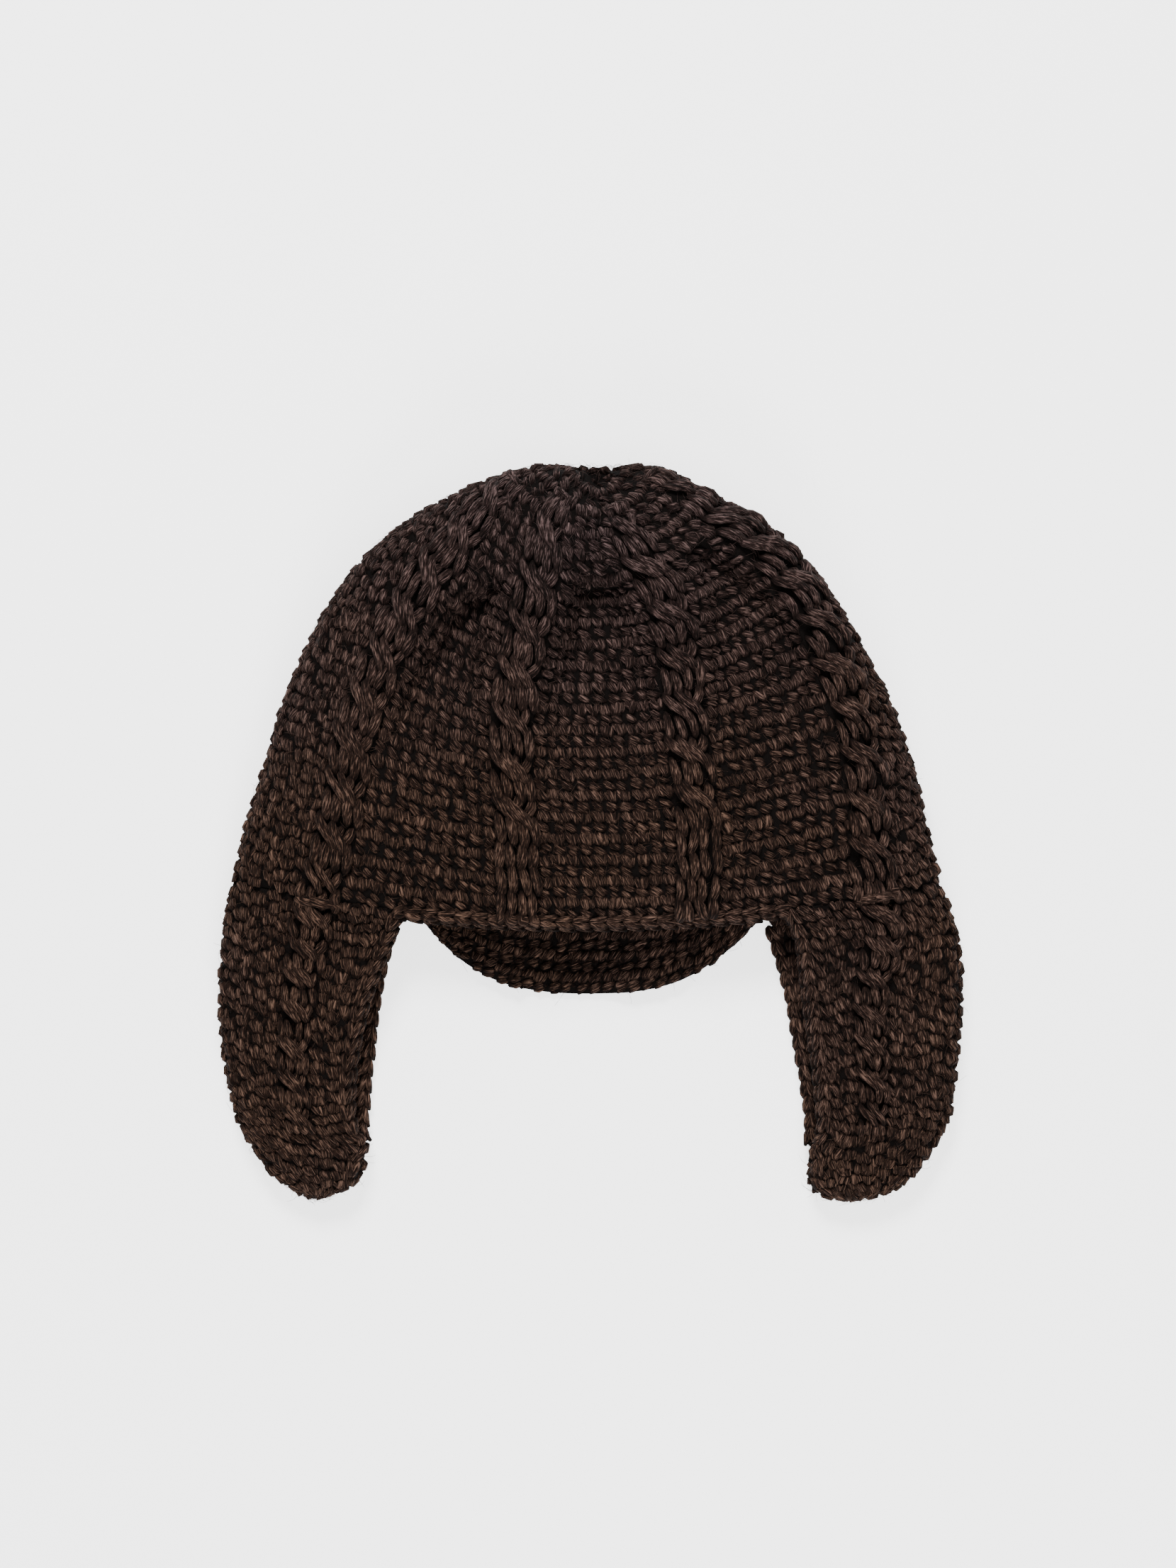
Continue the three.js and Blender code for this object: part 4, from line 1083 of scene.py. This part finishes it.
# A cable down a patch, whose first crossing starts at a distance and whose end is straight ribs
def cable_strands(patch, crossing, ribs, period, rng):
    length = patch.along[-1]
    starts = np.arange(crossing % period - period, length - LAST_PERIOD * period, period)
    ribs_start = length - ribs - LAST_CROSSING * period
    crossed = starts[starts < ribs_start]
    parts = []
    for kind, posts, where in (
        ("over", (0, 1), crossed), ("under", (2, 3), crossed),
        ("straight", range(4), starts), ("first_rib", range(4), starts[starts >= ribs_start]),
    ):
        if len(where):
            parts += cable_grains(patch, posts, kind, where, period, rng)
    return parts


class CAP_OT_cables(Operator):
    """Make the eight cables of the crown and the four that run on down the flaps"""
    bl_idname = "cap.cables"
    bl_label = "Cables"

    def execute(self, context):
        rng = np.random.default_rng(SEEDS["cables"])
        runs = []
        for number, cable in enumerate(CABLES, 1):
            run = (cable_strip(cable), cable["crossing"], cable["ribs"], CROWN_CROSSING)
            runs.append((f"cable_{number}", *run))
        for flap in (LEFT, RIGHT):
            for side in ("front", "back"):
                patch = flap_patch(flap, *flap_cable_range(flap, side), FLAP_CABLE_END)
                name = f"{flap['name']}_flap_cable_{side}"
                runs.append((name, patch, FLAP_FIRST_CROSSING, 0.0, FLAP_CROSSING))
        for name, *run in runs:
            piece = strands_piece(name + "_strands", cable_strands(*run, rng), material_named("cable_wool"))
            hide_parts(name)
        return {"FINISHED"}


# Pair-rows of stitches on a flap, and how far the toe's reach up under the cable's end
FLAP_ROWS = {"outside": 14, "toe": 5, "inside": 10}
TOE_OVERLAP = 0.02


class CAP_OT_earflaps(Operator):
    """Make the two folded earflaps with their stitches"""
    bl_idname = "cap.earflaps"
    bl_label = "Earflaps"

    def execute(self, context):
        yarn = context.scene.cap_yarn
        rng = np.random.default_rng(SEEDS["earflaps"])
        for flap in (LEFT, RIGHT):
            name = f"{flap['name']}_earflap"
            first, last = flap_range(flap)

            def place(across, down, flap=flap, first=first, last=last):
                return flap_point(flap, mix(first, last, across), down)

            # The flap's wall, painted dark as the shade between the stitches
            wall = wall_piece(name + "_shade_sheet", place, FLAP_WALL_GRID)
            strands = []
            for patch in flap_panels(flap):
                strands += outer_stitches(patch, FLAP_ROWS["outside"], FANNED, yarn, rng)
            for side in ("front", "back"):
                toe = flap_patch(flap, *flap_cable_range(flap, side), start=FLAP_CABLE_END - TOE_OVERLAP)
                strands += outer_stitches(toe, FLAP_ROWS["toe"], FANNED, yarn, rng)
            inside = flap_patch(flap, first, last, FLAP_CABLE_END)
            strands += outer_stitches(inside, FLAP_ROWS["inside"], FANNED, yarn, rng, facing=-1)
            stitches = strands_piece(name + "_stitches", strands, material_named("stitch_wool"))
            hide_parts(name)
        return {"FINISHED"}


# Chain edging along the edges: the length of a link, and how far past the edge its middle lies
CHAIN_PITCH = 6.4
CHAIN_HALF = 1.05
CHAIN_MIDDLE = 1.7
CHAIN_OVERRUN = 0.3
CHAIN_SHIFT = 0.1
# The lift at which a leaf is painted darkest, and how far over it it is painted fully lit
CHAIN_PAINTED_SHADE = (-0.9, 1.8)
CHAIN_LEAF = table(STRAND_COLUMNS, (
    (0.10, -0.12, -1.0, 0.6, 0.6),
    (0.50, 0.20, 0.9, 1.2, 1.1),
    (1.05, 0.54, 1.5, 1.4, 1.3),
    (1.55, 0.88, 1.0, 1.15, 1.1),
    (1.80, 1.18, -1.0, 0.6, 0.6),
))
# The links that show lie a little inside the edge and above the rolled links under them
TOP_LINKS = {"inset": 1.1, "rise": 0.5}
UNDER_LINKS = {"inset": -0.5, "rise": 0.0}
# Where the chain starts and ends down the flaps' edges
FRONT_CHAIN = (0.04, 0.84)
BACK_CHAIN = (0.1, 0.735)
# The chain leaves a flap's edge where its halves close, and runs on over the toe a little inside its outline
TOE_START = 0.69
TOE_DELAY = 0.03
TOE_GROWTH = 0.06
TOE_INSET = 0.055
TOE_RISE = 1.4
# Points along the edges, the step between those of a chain's line, and how many on each side smooth it
FLAP_EDGE_POINTS = 80
HEM_POINTS = 120
LINE_STEP = 0.6
LINE_SMOOTHING = 4
# Places just within a flap's edge, as an angle, and above the hem
WITHIN_FLAP = 0.03
ABOVE_HEM = 0.985


# A line's values at places between its points
def between(at, knots, values):
    return np.stack([np.interp(at, knots, values[:, axis]) for axis in range(3)], axis=-1)


# Evenly spaced places along an edge, each with the way past the edge and the way up
def edge_line(points, beyonds, normals):
    steps = np.linalg.norm(np.diff(points, axis=0), axis=-1)
    along = np.concatenate([[0], np.cumsum(steps)])
    wanted = np.linspace(0, along[-1], int(along[-1] / LINE_STEP))
    window = np.ones(2 * LINE_SMOOTHING + 1) / (2 * LINE_SMOOTHING + 1)
    line = {"length": along[-1]}
    for key, values in (("points", points), ("beyonds", beyonds), ("normals", normals)):
        spread = between(wanted, along, values)
        padded = np.pad(spread, ((LINE_SMOOTHING, LINE_SMOOTHING), (0, 0)), mode="edge")
        line[key] = np.stack([np.convolve(padded[:, axis], window, "valid") for axis in range(3)], axis=-1)
    line["beyonds"] = unit(line["beyonds"])
    line["normals"] = unit(line["normals"])
    return line


# The way past an edge and the way up at each of its points
def edge_frame(edge, within):
    beyonds = unit(edge - within)
    normals = np.cross(beyonds, unit(np.gradient(edge, axis=0)))
    return beyonds, normals * np.sign(normals[:, 2:3])


def flap_edge(flap, side, start, end):
    at = np.linspace(start, end, FLAP_EDGE_POINTS)
    angle = flap_edge_angle(flap, side)
    inward = np.sign(flap["fold"] - angle)
    closed = ease((at - TOE_START - TOE_DELAY) / TOE_GROWTH)
    near = angle + inward * closed * TOE_INSET
    edge = flap_point(flap, near, at)
    beyonds, normals = edge_frame(edge, flap_point(flap, near + inward * WITHIN_FLAP, at))
    if side == "back":
        normals = -normals
    edge = edge - beyonds * (CHAIN_MIDDLE * closed)[:, None] + normals * (TOE_RISE * closed)[:, None]
    return edge, beyonds, normals


def hem_edge():
    angles = np.linspace(flap_edge_angle(LEFT, "front"), flap_edge_angle(RIGHT, "front"), HEM_POINTS)
    edge = crown_point(angles, 1.0)
    return edge, *edge_frame(edge, crown_point(angles, ABOVE_HEM))


# A chain of links along an edge: two leaves for each link
def chain_strands(line, rng):
    count = max(2, int(round(line["length"] / CHAIN_PITCH)))
    form = strand_form(sides=10, rings=len(CHAIN_LEAF))
    shares = np.linspace(0, 1, len(line["points"]))
    across, down, lift, half, _ = columns(CHAIN_LEAF)
    along = (np.arange(count)[:, None] + down) / (count + CHAIN_OVERRUN)
    points, beyonds, normals = [between(along, shares, line[key]) for key in ("points", "beyonds", "normals")]
    parts = []
    for side in (-1, 1):
        shift = rng.normal(0, CHAIN_SHIFT, (count, 1))
        sideways = CHAIN_MIDDLE + side * across + shift
        height = lift + shift
        girth = np.broadcast_to(half * CHAIN_HALF, height.shape)
        painted_light = painted_light_shares(lift, CHAIN_PAINTED_SHADE, height)
        for facing, links in ((1, TOP_LINKS), (-1, UNDER_LINKS)):
            ups = normals * facing
            centres = points + beyonds * (sideways - links["inset"])[..., None]
            centres = centres + ups * (height + links["rise"])[..., None]
            parts.append(sweep(form, centres, ups, girth, girth, rng.random(count), painted_light))
    return parts


class CAP_OT_edgings(Operator):
    """Make the chain-stitch edges of the hem and the flaps"""
    bl_idname = "cap.edgings"
    bl_label = "Edgings"

    def execute(self, context):
        rng = np.random.default_rng(SEEDS["edgings"])
        left = [values[::-1] for values in flap_edge(LEFT, "front", *FRONT_CHAIN)]
        right = flap_edge(RIGHT, "front", *FRONT_CHAIN)
        lines = {"front": edge_line(*[np.concatenate(parts) for parts in zip(left, hem_edge(), right)])}
        for flap in (LEFT, RIGHT):
            lines[flap["name"] + "_back"] = edge_line(*flap_edge(flap, "back", *BACK_CHAIN))
        for place, line in lines.items():
            name = place + "_edging"
            piece = strands_piece(name + "_chain", chain_strands(line, rng), material_named("edging_wool"))
            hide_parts(name)
        return {"FINISHED"}


# Loose fibres that stand on the wool and soften its outline, in millimetres
FIBRE_RINGS = 4
FIBRE_HALF = 0.075
FIBRE_TIP = 0.5
FIBRE_ROOT = 1.6
FIBRE_LENGTH = (2.5, 7.5)
FIBRE_RISE = (0.3, 1.5)
FIBRE_ARC = 0.9
FIBRE_CURL = 0.35
# Under 1, this crowds the fibres a little toward a patch's lower end
FIBRE_SPREAD = 0.8


def fibre_strands(patch, count, rng):
    form = strand_form(sides=3, rings=FIBRE_RINGS)
    u, v = rng.random(count), rng.random(count) ** FIBRE_SPREAD
    start, normals = patch.lift(u, v, np.full(count, FIBRE_ROOT))
    heading = unit(np.cross(normals, rng.normal(0, 1, (count, 3))))
    bend = unit(np.cross(normals, heading))
    length = rng.uniform(*FIBRE_LENGTH, count)
    rise = rng.uniform(*FIBRE_RISE, count)
    curl = rng.normal(0, FIBRE_CURL, count)
    t = np.linspace(0, 1, FIBRE_RINGS)
    centres = start[:, None] + heading[:, None] * (length[:, None] * t)[..., None]
    centres = centres + normals[:, None] * (rise[:, None] * np.sin(math.pi * t * FIBRE_ARC))[..., None]
    centres = centres + bend[:, None] * (curl[:, None] * length[:, None] * t ** 2)[..., None]
    half = np.full((count, FIBRE_RINGS), FIBRE_HALF) * mix(1, FIBRE_TIP, t)[None, :]
    ups = np.broadcast_to(normals[:, None], centres.shape)
    return sweep(form, centres, ups, half, half, rng.random(count), np.ones_like(half), lobed=False)


class CAP_OT_fibres(Operator):
    """Make the loose fibres over the crown and the flaps"""
    bl_idname = "cap.fibres"
    bl_label = "Loose Fibres"

    def execute(self, context):
        count = context.scene.cap_yarn.fibre_count
        rng = np.random.default_rng(SEEDS["fibres"])
        patches = [crown_panel(index) for index in range(len(CABLES))]
        patches += [cable_strip(cable) for cable in CABLES[:FRONT_CABLES]]
        patches += [panel for flap in (LEFT, RIGHT) for panel in flap_panels(flap)]
        areas = np.array([patch.widths.mean() * patch.along[-1] for patch in patches])
        counts = [max(1, int(count * share)) for share in areas / areas.sum()]
        parts = [fibre_strands(patch, number, rng) for patch, number in zip(patches, counts)]
        piece = strands_piece("loose_fibres", parts, material_named("painted_light_fibre_wool"))
        return {"FINISHED"}


# Camera and room, in metres and watts
CAMERA_HEIGHT = 1.2
PHOTO_HEIGHT = 0.5972
PHOTO_CENTRE = (-0.0007, 0.0177)
PHOTO_PLANE = 0.012
SENSOR = 36
FLOOR_SIZE = 4
FLOOR_COLOUR = (0.95, 0.95, 0.95, 1)
FLOOR_GLOW = 1.8
ROOM_LIGHT = 0.42
WHITE = (1, 1, 1, 1)
LIGHTS = table(("name", "size", "power", "place", "target"), (
    ("key_light", 0.6, 56, (-0.25, 1.25, 1.35), (0, 0.02, 0)),
    ("fill_light", 1.2, 22, (0.3, -0.5, 1.9), (0, 0, 0)),
    ("low_light", 0.6, 18, (0.1, -1.2, 0.9), (0, -0.04, 0)),
))


def area_light(name, size, power, place, target):
    light = bpy.data.lights.new(name, "AREA")
    light.shape = "DISK"
    light.size = size
    light.energy = power
    lamp = bpy.data.objects.new(name, light)
    lamp.location = place
    away = Vector(np.subtract(place, target))
    lamp.rotation_euler = away.to_track_quat("Z", "Y").to_euler()
    bpy.context.collection.objects.link(lamp)


class CAP_OT_stage(Operator):
    """Make the pale floor, the soft lights and the camera"""
    bl_idname = "cap.stage"
    bl_label = "Stage"

    def execute(self, context):
        scene = context.scene
        bm = bmesh.new()
        bmesh.ops.create_grid(bm, x_segments=1, y_segments=1, size=FLOOR_SIZE)
        mesh = bpy.data.meshes.new("floor")
        bm.to_mesh(mesh)
        bm.free()
        floor = bpy.data.objects.new("floor", mesh)
        scene.collection.objects.link(floor)
        material, _, shader = new_material("pale_floor")
        shader.inputs["Base Color"].default_value = FLOOR_COLOUR
        shader.inputs["Roughness"].default_value = 0.9
        shader.inputs["Emission Color"].default_value = WHITE
        shader.inputs["Emission Strength"].default_value = FLOOR_GLOW
        floor.data.materials.append(material)
        world = bpy.data.worlds.new("soft_room")
        world.use_nodes = True
        background = world.node_tree.nodes["Background"]
        background.inputs["Color"].default_value = WHITE
        background.inputs["Strength"].default_value = ROOM_LIGHT
        scene.world = world
        for light in LIGHTS:
            area_light(**light)
        camera = bpy.data.cameras.new("camera")
        camera.sensor_width = SENSOR
        camera.lens = SENSOR * CAMERA_HEIGHT / PHOTO_HEIGHT
        holder = bpy.data.objects.new("camera", camera)
        holder.location = (*PHOTO_CENTRE, PHOTO_PLANE + CAMERA_HEIGHT)
        scene.collection.objects.link(holder)
        scene.camera = holder
        return {"FINISHED"}


class CAP_PT_panel(Panel):
    """Lists the pieces of the cap"""
    bl_idname = "CAP_PT_panel"
    bl_label = "Cable Earflap Cap"
    bl_space_type = "VIEW_3D"
    bl_region_type = "UI"
    bl_category = "Cap"

    def draw(self, context):
        yarn = context.scene.cap_yarn
        for name in ("strand", "stitch_width", "fibre_count", "dark", "middle", "light", "cool"):
            self.layout.prop(yarn, name)
        for operator in OPERATORS:
            self.layout.operator(operator.bl_idname)


OPERATORS = (
    CAP_OT_stage, CAP_OT_crown_fabric, CAP_OT_cables, CAP_OT_earflaps, CAP_OT_edgings, CAP_OT_fibres,
)
CLASSES = (CapYarnSettings, *OPERATORS, CAP_PT_panel)


def register():
    for cls in CLASSES:
        bpy.utils.register_class(cls)
    bpy.types.Scene.cap_yarn = PointerProperty(type=CapYarnSettings)


def unregister():
    del bpy.types.Scene.cap_yarn
    for cls in reversed(CLASSES):
        bpy.utils.unregister_class(cls)


def main():
    register()
    bpy.ops.cap.stage()
    bpy.ops.cap.crown_fabric()
    bpy.ops.cap.cables()
    bpy.ops.cap.earflaps()
    bpy.ops.cap.edgings()
    bpy.ops.cap.fibres()


if __name__ == "__main__":
    main()
